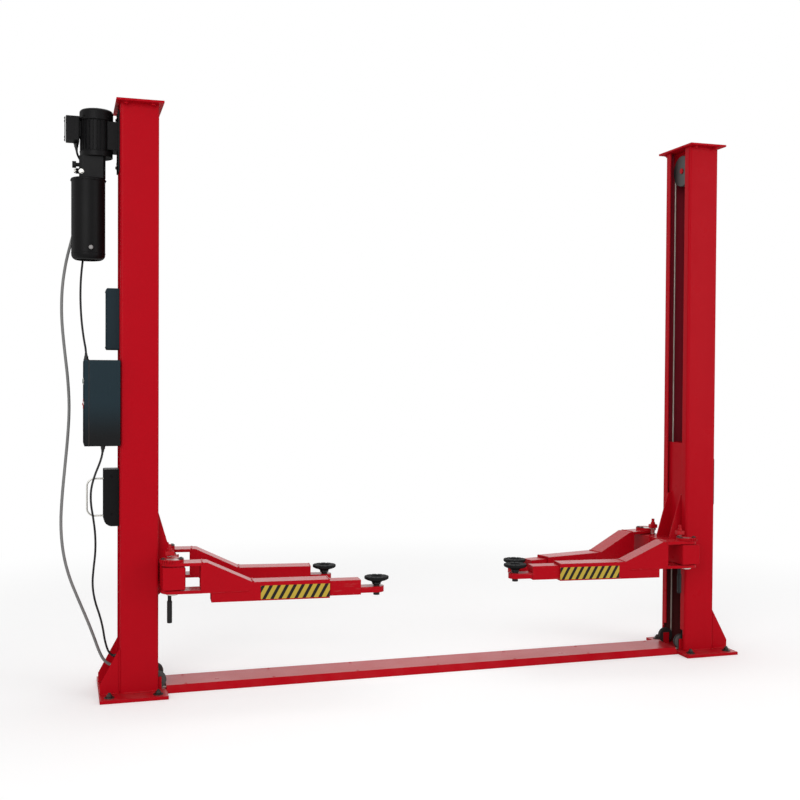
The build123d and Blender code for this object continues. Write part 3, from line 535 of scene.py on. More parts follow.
def new_group(name, inputs, outputs):
    """An empty shader node group with named inputs and outputs."""
    group = bpy.data.node_groups.new(name, "ShaderNodeTree")
    for label, kind, default in inputs:
        socket = group.interface.new_socket(label, in_out="INPUT", socket_type=kind)
        if default is not None:
            socket.default_value = default
    for label, kind in outputs:
        group.interface.new_socket(label, in_out="OUTPUT", socket_type=kind)
    put, out = group.nodes.new("NodeGroupInput"), group.nodes.new("NodeGroupOutput")
    return group, put.outputs, out.inputs


def edge_wear_group():
    """Edge Wear: the angle between the true normal and the bevelled one, broken up by noise."""
    group, put, out = new_group(
        "Edge Wear",
        [("Radius", "NodeSocketFloat", 0.003), ("Amount", "NodeSocketFloat", 0.3),
         ("Scale", "NodeSocketFloat", 60.0)],
        [("Mask", "NodeSocketFloat"), ("Normal", "NodeSocketVector")],
    )
    soft = node(group, "ShaderNodeBevel", {"Radius": put["Radius"]}, samples=4).outputs[0]
    true = group.nodes.new("ShaderNodeNewGeometry").outputs["True Normal"]
    dot = node(group, "ShaderNodeVectorMath", {0: soft, 1: true},
               operation="DOT_PRODUCT").outputs["Value"]
    broken = between(group, noise(group, object_place(group), put["Scale"], 4.0, 0.65), 0.52, 0.66)
    edge = between(group, less(group, dot), 0.02, 0.16)
    group.links.new(times(group, times(group, edge, broken), put["Amount"], clamp=True),
                    out["Mask"])
    group.links.new(soft, out["Normal"])
    return group


def peel_group():
    """Orange Peel: fine and coarse noise for the height of a sprayed coat, and a slow mottle."""
    group, put, out = new_group(
        "Orange Peel",
        [("Fine Scale", "NodeSocketFloat", 420.0), ("Coarse Scale", "NodeSocketFloat", 7.0)],
        [("Height", "NodeSocketFloat"), ("Mottle", "NodeSocketFloat")],
    )
    place = object_place(group)
    fine = noise(group, place, put["Fine Scale"], 1.5)
    coarse = noise(group, place, put["Coarse Scale"], 3.0)
    group.links.new(math(group, "MULTIPLY_ADD", coarse, 0.3, fine), out["Height"])
    group.links.new(coarse, out["Mottle"])
    return group


def dust_group():
    """Dust: what lies on faces that look up, thicker near the floor and broken up by noise."""
    group, put, out = new_group("Dust", [("Amount", "NodeSocketFloat", 0.2)],
                                [("Mask", "NodeSocketFloat")])
    geometry = group.nodes.new("ShaderNodeNewGeometry").outputs
    up = parts(group, geometry["Normal"])[2]
    place = object_place(group)
    low = less(group, between(group, parts(group, place)[2], 0.02, 0.55))
    lying = times(group, between(group, up, 0.55, 1.0), math(group, "MULTIPLY_ADD", low, 0.6, 0.4))
    patch = between(group, noise(group, place, 9.0, 5.0, 0.6), 0.35, 0.75)
    group.links.new(times(group, times(group, lying, patch), put["Amount"], clamp=True),
                    out["Mask"])
    return group


def rub_group():
    """Rub Marks: long thin streaks, from noise that is squeezed along one direction."""
    group, put, out = new_group(
        "Rub Marks",
        [("Stretch", "NodeSocketVector", (1.0, 40.0, 40.0)), ("Amount", "NodeSocketFloat", 0.3)],
        [("Mask", "NodeSocketFloat")],
    )
    stretch = {0: object_place(group), 1: put["Stretch"]}
    squeezed = node(group, "ShaderNodeVectorMath", stretch, operation="MULTIPLY").outputs[0]
    streak = between(group, noise(group, squeezed, 3.0, 4.0, 0.7), 0.56, 0.72)
    group.links.new(times(group, streak, put["Amount"], clamp=True), out["Mask"])
    return group


GROUP_MAKERS = {"Edge Wear": edge_wear_group, "Orange Peel": peel_group, "Dust": dust_group,
                "Rub Marks": rub_group}
BARE_METAL = (0.45, 0.44, 0.42)
DUST_COLOUR = (0.46, 0.43, 0.40)


def effect(tree, name, **values):
    """A shared effect's node in a material, with this material's own values."""
    shared = bpy.data.node_groups.get(name) or GROUP_MAKERS[name]()
    made = tree.nodes.new("ShaderNodeGroup")
    made.node_tree = shared
    for key, value in values.items():
        made.inputs[key.replace("_", " ").title()].default_value = value
    return made.outputs


def new_material(name):
    """A material with a Principled BSDF, and its tree and that shader."""
    material = bpy.data.materials.get(name) or bpy.data.materials.new(name)
    material.use_nodes = True
    tree = material.node_tree
    tree.nodes.clear()
    shader = tree.nodes.new("ShaderNodeBsdfPrincipled")
    node(tree, "ShaderNodeOutputMaterial", {"Surface": shader.outputs[0]})
    return material, tree, shader


def finish(name, colour, rough, metal=0.0, gloss=0.5, worn=BARE_METAL, wear=0.0, mottle=0.08,
           peel=0.0004, fine=420.0, dust=0.0, streaks=0.0, edge=0.0022, stretch=(1.0, 40.0, 40.0),
           paint=None, over=None, tops=0.12):
    """A finish for metal, paint, rubber or plastic: base colour with a slow mottle, rubbed edges,
    streaks and dust over it, and the coat's height as a bump on the softened edges. The shine is
    gloss on faces that stand square to the view and fades where they turn away, and those that
    look up have tops as well. paint(tree, colour) may put a pattern on the base colour, and
    over(tree, tone) may lay painted shade on it."""
    material, tree, shader = new_material(name)
    coat_height = effect(tree, "Orange Peel", fine_scale=fine)
    edges = effect(tree, "Edge Wear", radius=edge, amount=wear)
    base = paint(tree, colour) if paint else colour
    dark = base if paint else tuple(c * (1 - mottle) for c in colour)
    tone = mix(tree, coat_height["Mottle"], base, dark)
    roughness = math(tree, "MULTIPLY_ADD", coat_height["Mottle"], 0.16, rough - 0.08)
    if wear:
        tone = mix(tree, edges["Mask"], tone, worn)
    if over:
        tone = over(tree, tone)
    if streaks:
        rub = effect(tree, "Rub Marks", stretch=stretch, amount=streaks)["Mask"]
        tone = mix(tree, rub, tone, worn)
        roughness = math(tree, "MULTIPLY_ADD", rub, 0.2, roughness)
    if dust:
        lying = effect(tree, "Dust", amount=dust)["Mask"]
        tone = mix(tree, lying, tone, DUST_COLOUR)
        roughness = math(tree, "MULTIPLY_ADD", lying, 0.4, roughness)
    bump = node(tree, "ShaderNodeBump", {"Height": coat_height["Height"], "Normal": edges["Normal"],
                                         "Distance": peel, "Strength": 0.6})
    tree.links.new(tone, shader.inputs["Base Color"])
    tree.links.new(roughness, shader.inputs["Roughness"])
    tree.links.new(bump.outputs[0], shader.inputs["Normal"])
    shader.inputs["Metallic"].default_value = metal
    if metal:
        shader.inputs["Specular IOR Level"].default_value = gloss
        return material
    turned_away = node(tree, "ShaderNodeLayerWeight", {"Blend": 0.5}).outputs["Facing"]
    normal = tree.nodes.new("ShaderNodeNewGeometry").outputs["Normal"]
    up = between(tree, parts(tree, normal)[2], 0.75, 0.95)
    side = times(tree, less(tree, between(tree, turned_away, 0.45, 0.85)), gloss)
    tree.links.new(math(tree, "MULTIPLY_ADD", up, tops, side), shader.inputs["Specular IOR Level"])
    return material


def stripes(tree, colour):
    """Slanting stripes from the piece's own UV map, whose first number runs to the right in metres:
    light where the fraction of (u - lean v) / pitch is between 0.42 and 0.98."""
    paint = bpy.context.scene.lift_paint
    run = parts(tree, tree.nodes.new("ShaderNodeUVMap").outputs[0])
    lean = math(tree, "MULTIPLY_ADD", run[1], -paint.stripe_lean, run[0])
    wave = math(tree, "FRACT", math(tree, "DIVIDE", lean, paint.stripe_pitch))
    light = times(tree, between(tree, wave, 0.40, 0.44), less(tree, between(tree, wave, 0.96, 1.0)))
    return mix(tree, light, colour, paint.stripe_light)


def grip_paint(tree, colour):
    """Black plastic below the beam, and the arms' coat on the rods and pawls above it."""
    height = parts(tree, object_place(tree))[2]
    red = tuple(bpy.context.scene.lift_paint.coat)
    return mix(tree, between(tree, height, BEAM_BOTTOM, BEAM_TOP), colour, red)


def box_painted_shade(tree, colour):
    """The boxes' blue-black, with painted shade that darkens it towards the foot of each box."""
    height = parts(tree, object_place(tree))[2]
    # Painted shade: the colour falls to a darker blue-black towards each box's foot
    return mix(tree, between(tree, height, 1.22, 1.42), (0.0088, 0.0092, 0.0098), colour)


def channel_painted_shade(tree, tone):
    """Painted shade on the faces inside a column's channel, darker towards the floor."""
    x, y, z = parts(tree, object_place(tree))
    x, y = math(tree, "ABSOLUTE", x), math(tree, "ABSOLUTE", y)
    near, deep = SHADE_STARTS
    inside = math(tree, "SUBTRACT", between(tree, x, INNER + near, INNER + deep),
                  between(tree, x, OUTER - deep, OUTER - near))
    inside = times(tree, inside, between(tree, y, HALF_DEPTH - near, HALF_DEPTH - deep))
    # Painted shade: the channel's inner faces turn dark red-brown, darkest towards the floor
    painted_shade = mix(tree, between(tree, z, 0.40, 1.30), SHADE_FOOT, SHADE_TOP)
    return mix(tree, times(tree, inside, SHADE_SHARE), tone, painted_shade)


FINISHES = {}


def make_finishes(paint):
    """Every finish on the lift, by name."""
    red, black, box = tuple(paint.coat), tuple(paint.enamel), tuple(paint.box)
    coat = {"gloss": 0.04, "tops": 0.34, "wear": paint.wear * 0.6, "worn": (0.34, 0.06, 0.06),
            "dust": 0.08, "mottle": 0.10, "peel": 0.00035, "edge": 0.0026}
    FINISHES.update({
        "coat": finish("red_powder_coat", red, 0.30, **coat),
        # The columns' coat carries painted shade inside their channels
        "column": finish("red_column_coat", red, 0.30, over=channel_painted_shade, **coat),
        "arm": finish("red_arm_coat", red, 0.26, gloss=0.05, tops=0.45, wear=paint.wear * 1.2,
                      worn=(0.38, 0.14, 0.13), dust=0.08, mottle=0.12, peel=0.00035),
        "slide": finish("red_sliding_coat", red, 0.28, gloss=0.05, tops=0.45, wear=paint.wear * 1.4,
                        worn=(0.36, 0.20, 0.18), streaks=0.25, mottle=0.12,
                        stretch=(2.0, 34.0, 40.0)),
        "zinc": finish("zinc_plate", (0.58, 0.57, 0.53), 0.36, 1.0, mottle=0.22, peel=0.0002,
                       fine=240.0, wear=0.3, worn=(0.72, 0.71, 0.69)),
        "sheave": finish("dark_sheave", (0.085, 0.080, 0.078), 0.42, 0.75, mottle=0.4, peel=0.0004,
                         wear=0.5, worn=(0.35, 0.34, 0.33)),
        "rubber": finish("pad_rubber_black", (0.0065, 0.0068, 0.0072), 0.60, gloss=0.10, tops=0.08,
                         mottle=0.3, peel=0.0009, fine=520.0, wear=0.3, worn=(0.030, 0.030, 0.030),
                         edge=0.0016),
        "guide": finish("guide_polyethylene", (0.42, 0.40, 0.35), 0.45, mottle=0.12, streaks=0.4,
                        worn=(0.35, 0.32, 0.28), stretch=(40.0, 40.0, 1.0)),
        "rod": finish("black_grip", (0.006, 0.006, 0.0065), 0.42, gloss=0.2, paint=grip_paint,
                      wear=0.2, worn=(0.20, 0.15, 0.14), peel=0.0003),
        "screw": finish("black_screw", (0.010, 0.010, 0.010), 0.38, gloss=0.25, wear=0.4,
                        worn=(0.10, 0.10, 0.10), peel=0.0003),
        "rope": finish("galvanised_rope", (0.40, 0.33, 0.29), 0.45, 0.6, mottle=0.35, peel=0.0002,
                       streaks=0.4, worn=(0.12, 0.09, 0.07), stretch=(60.0, 60.0, 3.0)),
        "cylinder": finish("cylinder_enamel", (0.010, 0.010, 0.011), 0.34, gloss=0.3, wear=0.3,
                           mottle=0.2, worn=(0.12, 0.12, 0.12)),
        "chrome": finish("hard_chrome", (0.72, 0.72, 0.73), 0.12, 1.0, mottle=0.05, peel=0.0,
                         streaks=0.10, worn=(0.5, 0.5, 0.5), stretch=(60.0, 60.0, 1.0)),
        "chain": finish("oiled_chain", (0.16, 0.145, 0.125), 0.34, 0.95, mottle=0.4, peel=0.0002,
                        wear=0.5, worn=(0.42, 0.40, 0.38)),
        "unit": finish("black_enamel", black, 0.42, gloss=0.08, wear=paint.wear,
                       worn=(0.10, 0.097, 0.095), mottle=0.25, peel=0.0006, fine=260.0, dust=0.06),
        "casting": finish("dark_casting", (0.0085, 0.0085, 0.0090), 0.46, gloss=0.12, mottle=0.35,
                          peel=0.0012, fine=330.0, wear=0.4, worn=(0.16, 0.16, 0.16)),
        # The boxes' colour carries painted shade towards their feet
        "box": finish("blue_black_box", box, 0.38, gloss=0.08, mottle=0.2, peel=0.0005, fine=300.0,
                      wear=paint.wear, worn=(0.075, 0.068, 0.060), dust=0.05, paint=box_painted_shade),
        "seal": finish("brown_door_seal", (0.060, 0.045, 0.036), 0.5, gloss=0.2, mottle=0.2),
        "hose": finish("grey_hose", (0.235, 0.235, 0.232), 0.50, gloss=0.2, mottle=0.3, peel=0.0010,
                       fine=700.0, streaks=0.25, worn=(0.05, 0.05, 0.05), stretch=(6.0, 6.0, 60.0),
                       edge=0.001),
        "cable": finish("black_cable", (0.009, 0.009, 0.010), 0.46, gloss=0.25, mottle=0.3,
                        peel=0.0004, edge=0.001),
        "stripe": finish("hazard_stripes", tuple(paint.stripe_dark), 0.34, gloss=0.15,
                         paint=stripes, peel=0.0002, wear=0.4, worn=(0.30, 0.12, 0.08),
                         edge=0.0006),
        "anchor": finish("anchor_steel", (0.055, 0.048, 0.044), 0.45, 0.8, mottle=0.35, peel=0.0004,
                         wear=0.4, worn=(0.25, 0.23, 0.21)),
        "button_green": finish("green_button", (0.010, 0.16, 0.035), 0.28, gloss=0.4, mottle=0.05),
        "button_red": finish("red_button", (0.45, 0.012, 0.010), 0.28, gloss=0.4, mottle=0.05),
        "button_black": finish("black_button", (0.009, 0.009, 0.0095), 0.32, gloss=0.3, mottle=0.1),
        "bezel": finish("nickel_bezel", (0.62, 0.61, 0.58), 0.25, 1.0, mottle=0.08),
        "cap_plastic": finish("pale_plug", (0.30, 0.285, 0.28), 0.40, mottle=0.10),
    })


# The finish of each material slot, and of the nodes whose names end in these words
NODE_FINISH = {
    "column_paint": "coat", "arm_paint": "arm", "extension_paint": "slide", "zinc_steel": "zinc",
    "pad_rubber": "rubber", "guide_plastic": "guide", "black_steel": "rod", "wire_rope": "rope",
    "cylinder_paint": "cylinder", "chromed_rod": "chrome", "chain_steel": "chain",
    "unit_black": "unit", "pump_aluminium": "casting", "box_plastic": "box", "hose_grey": "hose",
    "cable_black": "cable",
}
SPECIAL_FINISH = {"sheaves": "sheave", "pad_screw": "screw", "column": "column"}


def arm_place(side, row):
    """Matrix from an arm's own axes, +X along the arm from its pin, to the row frame."""
    turn = ARMS[side, row][1]
    return at(SIDES[side] * PIN_X, ROWS[row] * PIN_Y, 0, Matrix.Rotation(radians(turn), 4, "Z"))


def outer_side(side, row):
    """Which side of an arm, in its own axes, looks away from the vehicle."""
    return 1 if (side == "right") == (row == "front") else -1


# Operators, one for each piece or group of like pieces

class LIFT_OT_stage(bpy.types.Operator):
    """Sets the floor, the lamps, the surround and the camera"""
    bl_idname = "lift.stage"
    bl_label = "Stage"

    def execute(self, context):
        self.floor(context.scene.lift_stage)
        self.surround(context.scene, context.scene.lift_stage.sky)
        self.lamps(context.scene, context.scene.lift_stage)
        self.camera(context.scene, context.scene.lift_stage.lens)
        return {"FINISHED"}

    @staticmethod
    def floor(stage):
        """The floor: a level sheet just under the lift, which glows a little for the camera and
        fades to white 2 to 5 m out."""
        u, v = np.meshgrid(np.linspace(-16, 16, 9), np.linspace(-14, 22, 9), indexing="ij")
        floor, tree, shader = new_material("pale_floor")
        ground = make_piece("floor", skin(np.stack([u, v, np.full_like(u, -0.0006)], -1),
                                          ring=False), floor)
        place, grey = object_place(tree), tuple(stage.floor)
        tone = mix(tree, noise(tree, place, 1.3, 2.0), grey, tuple(0.985 * c for c in grey))
        tree.links.new(tone, shader.inputs["Base Color"])
        shader.inputs["Roughness"].default_value = 0.85
        shader.inputs["Specular IOR Level"].default_value = 0.05
        path = tree.nodes.new("ShaderNodeLightPath").outputs
        seen = math(tree, "MAXIMUM", path["Is Camera Ray"], path["Is Glossy Ray"])
        out = node(tree, "ShaderNodeVectorMath", {0: place}, operation="LENGTH").outputs["Value"]
        glow = node(tree, "ShaderNodeEmission", {"Strength": times(tree, seen, stage.glow)})
        near = node(tree, "ShaderNodeAddShader", {0: shader.outputs[0], 1: glow.outputs[0]})
        white = node(tree, "ShaderNodeEmission", {"Strength": 1.0})
        far = times(tree, between(tree, out, 2.0, 5.0), seen)
        both = node(tree, "ShaderNodeMixShader", {0: far, 1: near.outputs[0], 2: white.outputs[0]})
        output = next(n for n in tree.nodes if n.type == "OUTPUT_MATERIAL")
        tree.links.new(both.outputs[0], output.inputs[0])

    @staticmethod
    def surround(scene, strength):
        """The even light from all round, which the camera and shiny surfaces see as white."""
        scene.view_settings.view_transform = "Standard"
        scene.world = scene.world or bpy.data.worlds.new("studio")
        scene.world.use_nodes = True
        sky = scene.world.node_tree
        sky.nodes.clear()
        path = sky.nodes.new("ShaderNodeLightPath").outputs
        plain = math(sky, "MAXIMUM", math(sky, "MAXIMUM", path["Is Camera Ray"],
                                          path["Is Glossy Ray"]), path["Is Transmission Ray"])
        level = math(sky, "MULTIPLY_ADD", plain, 1.0 - strength, strength)
        shine = node(sky, "ShaderNodeBackground", {"Color": (1, 1, 1, 1), "Strength": level})
        node(sky, "ShaderNodeOutputWorld", {"Surface": shine.outputs[0]})

    @staticmethod
    def lamps(scene, stage):
        """Three square lamps, each turned from its place to the point it aims at."""
        for name, place, aim, size, power in (
            ("key_lamp", (-4.0, -6.4, 3.6), (-0.3, 0, 1.1), 4.6, stage.key),
            ("fill_lamp", (5.4, -5.0, 2.6), (0.4, 0, 1.0), 4.0, stage.fill),
            ("top_lamp", (0.4, 1.0, 6.4), (0, 0, 1.0), 5.0, stage.fill),
        ):
            lamp = bpy.data.lights.new(name, "AREA")
            lamp.size, lamp.energy = size, power
            holder = bpy.data.objects.new(name, lamp)
            scene.collection.objects.link(holder)
            holder.matrix_world = at(*place, facing(np.array(place) - np.array(aim)))

    @staticmethod
    def camera(scene, lens):
        """The camera: it looks along +Y, turned right by the yaw, down by the pitch, and rolled."""
        yaw, pitch, roll = np.radians(CAMERA_TURN)
        ahead = np.array([sin(yaw) * cos(pitch), cos(yaw) * cos(pitch), -sin(pitch)])
        level = np.array([cos(yaw), -sin(yaw), 0])
        above = np.cross(level, ahead)
        right = level * cos(roll) + above * sin(roll)
        upward = above * cos(roll) - level * sin(roll)
        data = bpy.data.cameras.new("camera")
        data.lens, data.sensor_width, data.clip_end = lens, 36, 100
        camera = bpy.data.objects.new("camera", data)
        scene.collection.objects.link(camera)
        turn = Matrix([[*row, 0] for row in np.stack([right, upward, -ahead], 1)] + [[0, 0, 0, 1]])
        camera.matrix_world = at(*CAMERA_PLACE, turn)
        scene.camera = camera


def cord_curve(name, points, diameter, material):
    """A cord as one smooth spline with the route's points as its control points."""
    curve = bpy.data.curves.new(name, "CURVE")
    curve.dimensions, curve.resolution_u, curve.use_fill_caps = "3D", 8, True
    curve.bevel_depth, curve.bevel_resolution = diameter / 2, 3
    spline = curve.splines.new("NURBS")
    spline.points.add(len(points) - 1)
    spline.points.foreach_set("co", np.c_[np.array(points), np.ones(len(points))].ravel())
    spline.order_u = 3
    spline.use_endpoint_u = True
    curve.materials.append(material)
    piece = bpy.data.objects.new(name, curve)
    bpy.context.scene.collection.objects.link(piece)
    return piece


def cord_line(piece):
    """Points along a cord's middle, read from its spline."""
    bare = piece.copy()
    bare.data = piece.data.copy()
    bare.data.bevel_depth = 0
    bare.data.resolution_u = 24
    mesh = bpy.data.meshes.new_from_object(bare)
    places = np.empty(len(mesh.vertices) * 3)
    mesh.vertices.foreach_get("co", places)
    bpy.data.objects.remove(bare)
    bpy.data.meshes.remove(mesh)
    return places.reshape(-1, 3)


def sleeve(places, length, wide, rings=4, rows=24):
    """A strain relief along the start of a cord's own line: its radius falls evenly from wide to
    0.62 wide, and is 7% less in each of its rings."""
    s = np.concatenate([[0], np.cumsum(np.linalg.norm(np.diff(places, axis=0), axis=1))])
    t = np.linspace(0, length, rows)
    path = np.stack([np.interp(t, s, places[:, k]) for k in range(3)], -1)
    share = np.linspace(0, 1, rows)
    radius = wide + (wide * 0.62 - wide) * share
    radius *= 1 - 0.07 * (np.sin(share * rings * 2 * pi) > 0)
    return tube(path, radius, 20, (0.35, 1, 0.12))


class LIFT_OT_cords(bpy.types.Operator):
    """Makes the hydraulic hose and the two electric cables, with their strain reliefs"""
    bl_idname = "lift.cords"
    bl_label = "Hose and Cables"

    def execute(self, context):
        cords = context.scene.lift_cords
        for name, points, diameter, tone, slot, length, stiff in (
            ("hydraulic_hose", HOSE_POINTS, cords.hose, "hose", "hose_grey", 2.45, "stiff"),
            ("motor_cable", MOTOR_CABLE_POINTS, cords.cable, "cable", "cable_black", 1.084,
             "medium"),
            ("control_cable", CONTROL_CABLE_POINTS, cords.cable, "cable", "cable_black", 1.08,
             "medium"),
        ):
            piece = cord_curve(f"{name}_line", points, diameter, FINISHES[tone])
            places = cord_line(piece)
            sleeves = joined(*(sleeve(run, 0.034, diameter) for run in (places, places[::-1])))
            ends = make_piece(f"{name}_reliefs", sleeves, FINISHES["button_black"], "root")
            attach(piece, "root")
            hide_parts(name)
        return {"FINISHED"}


class LIFT_OT_finishes(bpy.types.Operator):
    """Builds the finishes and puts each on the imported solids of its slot"""
    bl_idname = "lift.finishes"
    bl_label = "Finishes"

    def execute(self, context):
        make_finishes(context.scene.lift_paint)
        slots = {row["node"]: row["material_slot"] for row in frame["record"]["subparts"]}
        for name, solid in nodes.items():
            kind = next((k for word, k in SPECIAL_FINISH.items() if name.endswith(word)),
                        NODE_FINISH[slots[name]])
            for holder in solid.material_slots:
                holder.material = FINISHES[kind]
        return {"FINISHED"}


class LIFT_OT_stripes(bpy.types.Operator):
    """Makes the striped strips on the outer sides of the arms"""
    bl_idname = "lift.stripes"
    bl_label = "Striped Strips"

    def execute(self, context):
        for side, row in ARMS:
            face = outer_side(side, row)
            low, high, start, end = 0.466, 0.531, 0.412, 0.745
            strip = plate(end - start, high - low, 0.0008, 0.003, 0.0004)
            uv = strip[0][:, :2] + 1
            turn = Matrix.Rotation(pi / 2, 4, "X")
            lay = at((start + end) / 2, face * ARM_HALF, (low + high) / 2,
                     turn if face < 0 else Matrix.Rotation(pi, 4, "Z") @ turn)
            make_piece(f"{side}_{row}_stripes", placed(strip, arm_place(side, row) @ lay),
                       FINISHES["stripe"], f"{side}_{row}_arm", uv)
        return {"FINISHED"}


class LIFT_OT_anchors(bpy.types.Operator):
    """Makes the anchor bolts of both bases and the bolts of both caps"""
    bl_idname = "lift.anchors"
    bl_label = "Anchor and Cap Bolts"

    def execute(self, context):
        hardware = context.scene.lift_hardware
        for side, sign in SIDES.items():
            anchor = bolt(hardware.anchor_flats, 0.012, 0.0075, 0.008)
            spots = [at(sign * BASE_X + dx, dy, BASE_TOP, Matrix.Rotation(dx * 9 + dy * 7, 4, "Z"))
                     for dx in (-0.1125, 0.1125) for dy in (-0.179, 0.179)]
            make_piece(f"{side}_anchor_bolts", placed(anchor, *spots), FINISHES["anchor"], "root")
            head = bolt(0.019, 0.008)
            over = [(sign * COLUMN_X + dx, dy) for dx in (-0.066, 0.060) for dy in (-0.148, 0.148)]
            under = [at(x, y, CAP_UNDER, Matrix.Rotation(pi, 4, "X")) for x, y in over]
            above = [at(x, y, TOP) for x, y in over]
            button = turned([(0.0090, 0), (0.0088, 0.0008), (0.0070, 0.0020), (0.0040, 0.0026)], 24)
            make_piece(f"{side}_cap_bolts", joined(placed(head, *under), placed(button, *above)),
                       FINISHES["coat"], "root")
        return {"FINISHED"}


class LIFT_OT_welds(bpy.types.Operator):
    """Makes the weld beads of the columns, carriages and arms"""
    bl_idname = "lift.welds"
    bl_label = "Weld Beads"

    def execute(self, context):
        r = context.scene.lift_hardware.weld
        for side, s in SIDES.items():
            z, front, back = BASE_TOP + 0.3 * r, HALF_DEPTH + 0.3 * r, s * (OUTER + 0.3 * r)
            beads = []
            for y in (-1, 1):
                beads.append(bead((s * (INNER + BEND), y * front, z),
                                  (s * (OUTER - BEND), y * front, z), r))
                for face in (-1, 1):
                    edge = y * (HALF_DEPTH - BEND) + face * (0.006 + 0.3 * r)
                    beads.append(bead((back, edge, BASE_TOP + 0.01), (back, edge, 0.225), r,
                                      (0, 1, 0)))
                    beads.append(bead((s * (OUTER + 0.008), edge, z),
                                      (s * (OUTER + 0.088), edge, z), r))
            beads.append(bead((back, -0.095, z), (back, 0.095, z), r))
            make_piece(f"{side}_base_welds", joined(*beads), FINISHES["coat"], "root")

            beads, neck = [], INNER - 0.010
            for y in (-1, 1):
                for edge in (0.060, 0.070):
                    across = y * (edge + (0.3 * r if edge > 0.065 else -0.3 * r))
                    level = BEAM_TOP + 0.3 * r
                    beads.append(bead((s * neck, across, level),
                                      (s * (INNER - 0.068), across, level), r))
                face, across = s * (BEAM_FACE - 0.3 * r), y * (0.070 + 0.3 * r)
                beads.append(bead((face, across, BEAM_BOTTOM + 0.01), (face, across, 0.640), r,
                                  (0, 1, 0)))
                face, end = s * BEAM_FACE, y * (BEAM_END - 0.006)
                beads.append(bead((face, end, BEAM_BOTTOM + 0.003), (face, end, BEAM_TOP - 0.003),
                                  0.5 * r, (0, 1, 0)))
                for level in (BEAM_BOTTOM, BEAM_TOP):
                    beads.append(bead((s * (BEAM_FACE + 0.003), end, level), (s * neck, end, level),
                                      0.5 * r))
            make_piece(f"{side}_carriage_welds", joined(*beads), FINISHES["coat"],
                       f"{side}_carriage")
        for side, row in ARMS:
            wide = ARM_HALF - 0.002
            beads = [bead((x, -wide, z), (x, wide, z), size) for x, z, size in (
                (0.138, FORK_TOP, r), (0.1795, FORK_BOTTOM - 0.3 * r, r),
                (0.378, TUBE_TOP + 0.2 * r, r), (0.7435, TUBE_TOP + 0.1 * r, 0.6 * r))]
            for y in (-1, 1):
                side_y, rim = y * ARM_HALF, y * (ARM_HALF + 0.001)
                for level in (FORK_BOTTOM + 0.0075, FORK_TOP - 0.0075):
                    beads.append(bead((0.132, rim, level), (0.1375, rim, level), r))
                beads.append(bead((0.184, side_y, FORK_BOTTOM), (0.36, side_y, FORK_BOTTOM + 0.002),
                                  0.7 * r))
            make_piece(f"{side}_{row}_arm_welds", placed(joined(*beads), arm_place(side, row)),
                       FINISHES["arm"], f"{side}_{row}_arm")
        return {"FINISHED"}


class LIFT_OT_ropes(bpy.types.Operator):
    """Makes the stranded equalising ropes that stand in the columns"""
    bl_idname = "lift.ropes"
    bl_label = "Equalising Ropes"

    def execute(self, context):
        hardware = context.scene.lift_hardware
        low, top, spread = 0.061, 2.700, 0.082
        for side, sign in SIDES.items():
            straight = np.arange(low, top, 0.0075)
            t = np.linspace(pi, 0, 60)
            y = np.concatenate([np.full(len(straight), -spread), spread * np.cos(t),
                                np.full(len(straight), spread)])
            z = np.concatenate([straight, top + spread * np.sin(t), straight[::-1]])
            path = np.stack([np.full(len(y), sign * ROPE_X), y, z], -1)
            piece = make_piece(f"{side}_rope_strands", self.strands(path, hardware),
                               FINISHES["rope"], "root", smooth=70)
            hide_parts(f"{side}_column_cable")
        return {"FINISHED"}

    @staticmethod
    def strands(path, hardware):
        """Six strands as one skin round the path, with r(a) = R (0.86 + 0.14 |cos 3 b|) and
        b = a - 2 pi s / lay."""
        s = np.concatenate([[0], np.cumsum(np.linalg.norm(np.diff(path, axis=0), axis=1))])
        run = np.gradient(path, axis=0)
        run /= np.linalg.norm(run, axis=1)[:, None]
        n = np.broadcast_to(np.array([1.0, 0, 0]), run.shape)
        b = np.cross(run, n)
        a = np.arange(24) * 2 * pi / 24
        twist = a[None] - 2 * pi * s[:, None] / hardware.lay
        r = hardware.rope / 2 * (0.86 + 0.14 * np.abs(np.cos(3 * twist)))
        round_path = n[:, None] * np.cos(a)[:, None] + b[:, None] * np.sin(a)[:, None]
        return skin(path[:, None] + r[..., None] * round_path)


def chain_strand(x, y, low, high, pitch=0.0159, sides=18):
    """Leaf chain along Z: rows of waisted plates, in turn half a pitch apart, and a pin at every
    joint. A plate's outline is y(t) = h (0.80 + 0.20 |cos t|) sin t and
    z(t) = (pitch / 2 + 0.8 h) cos t."""
    half, thick, leaves, reach = 0.0054, 0.0011, 7, 0.0082
    count = int((high - low) / pitch)
    pitch = (high - low) / count
    t = np.arange(sides) * 2 * pi / sides
    wide = half * (0.80 + 0.20 * np.abs(np.cos(t))) * np.sin(t)
    tall = (pitch / 2 + half * 0.80) * np.cos(t)
    rim = np.stack([np.zeros(sides), wide, tall], -1)
    leaf = skin(np.stack([rim * 0.985 + [-thick, 0, 0], rim + [-thick * 0.7, 0, 0],
                          rim + [thick * 0.7, 0, 0], rim * 0.985 + [thick, 0, 0]]))
    links = [at(x + dx, y, low + pitch * (i + 0.5)) for i in range(count)
             for k, dx in enumerate(np.linspace(-reach, reach, leaves)) if k % 2 == i % 2]
    pin = turned([(0.0018, -0.0095), (0.0024, -0.0092), (0.0024, 0.0092), (0.0018, 0.0095)], 10)
    pins = [at(x, y, low + pitch * i, Matrix.Rotation(pi / 2, 4, "Y")) for i in range(1, count)]
    return joined(placed(leaf, *links), placed(pin, *pins))


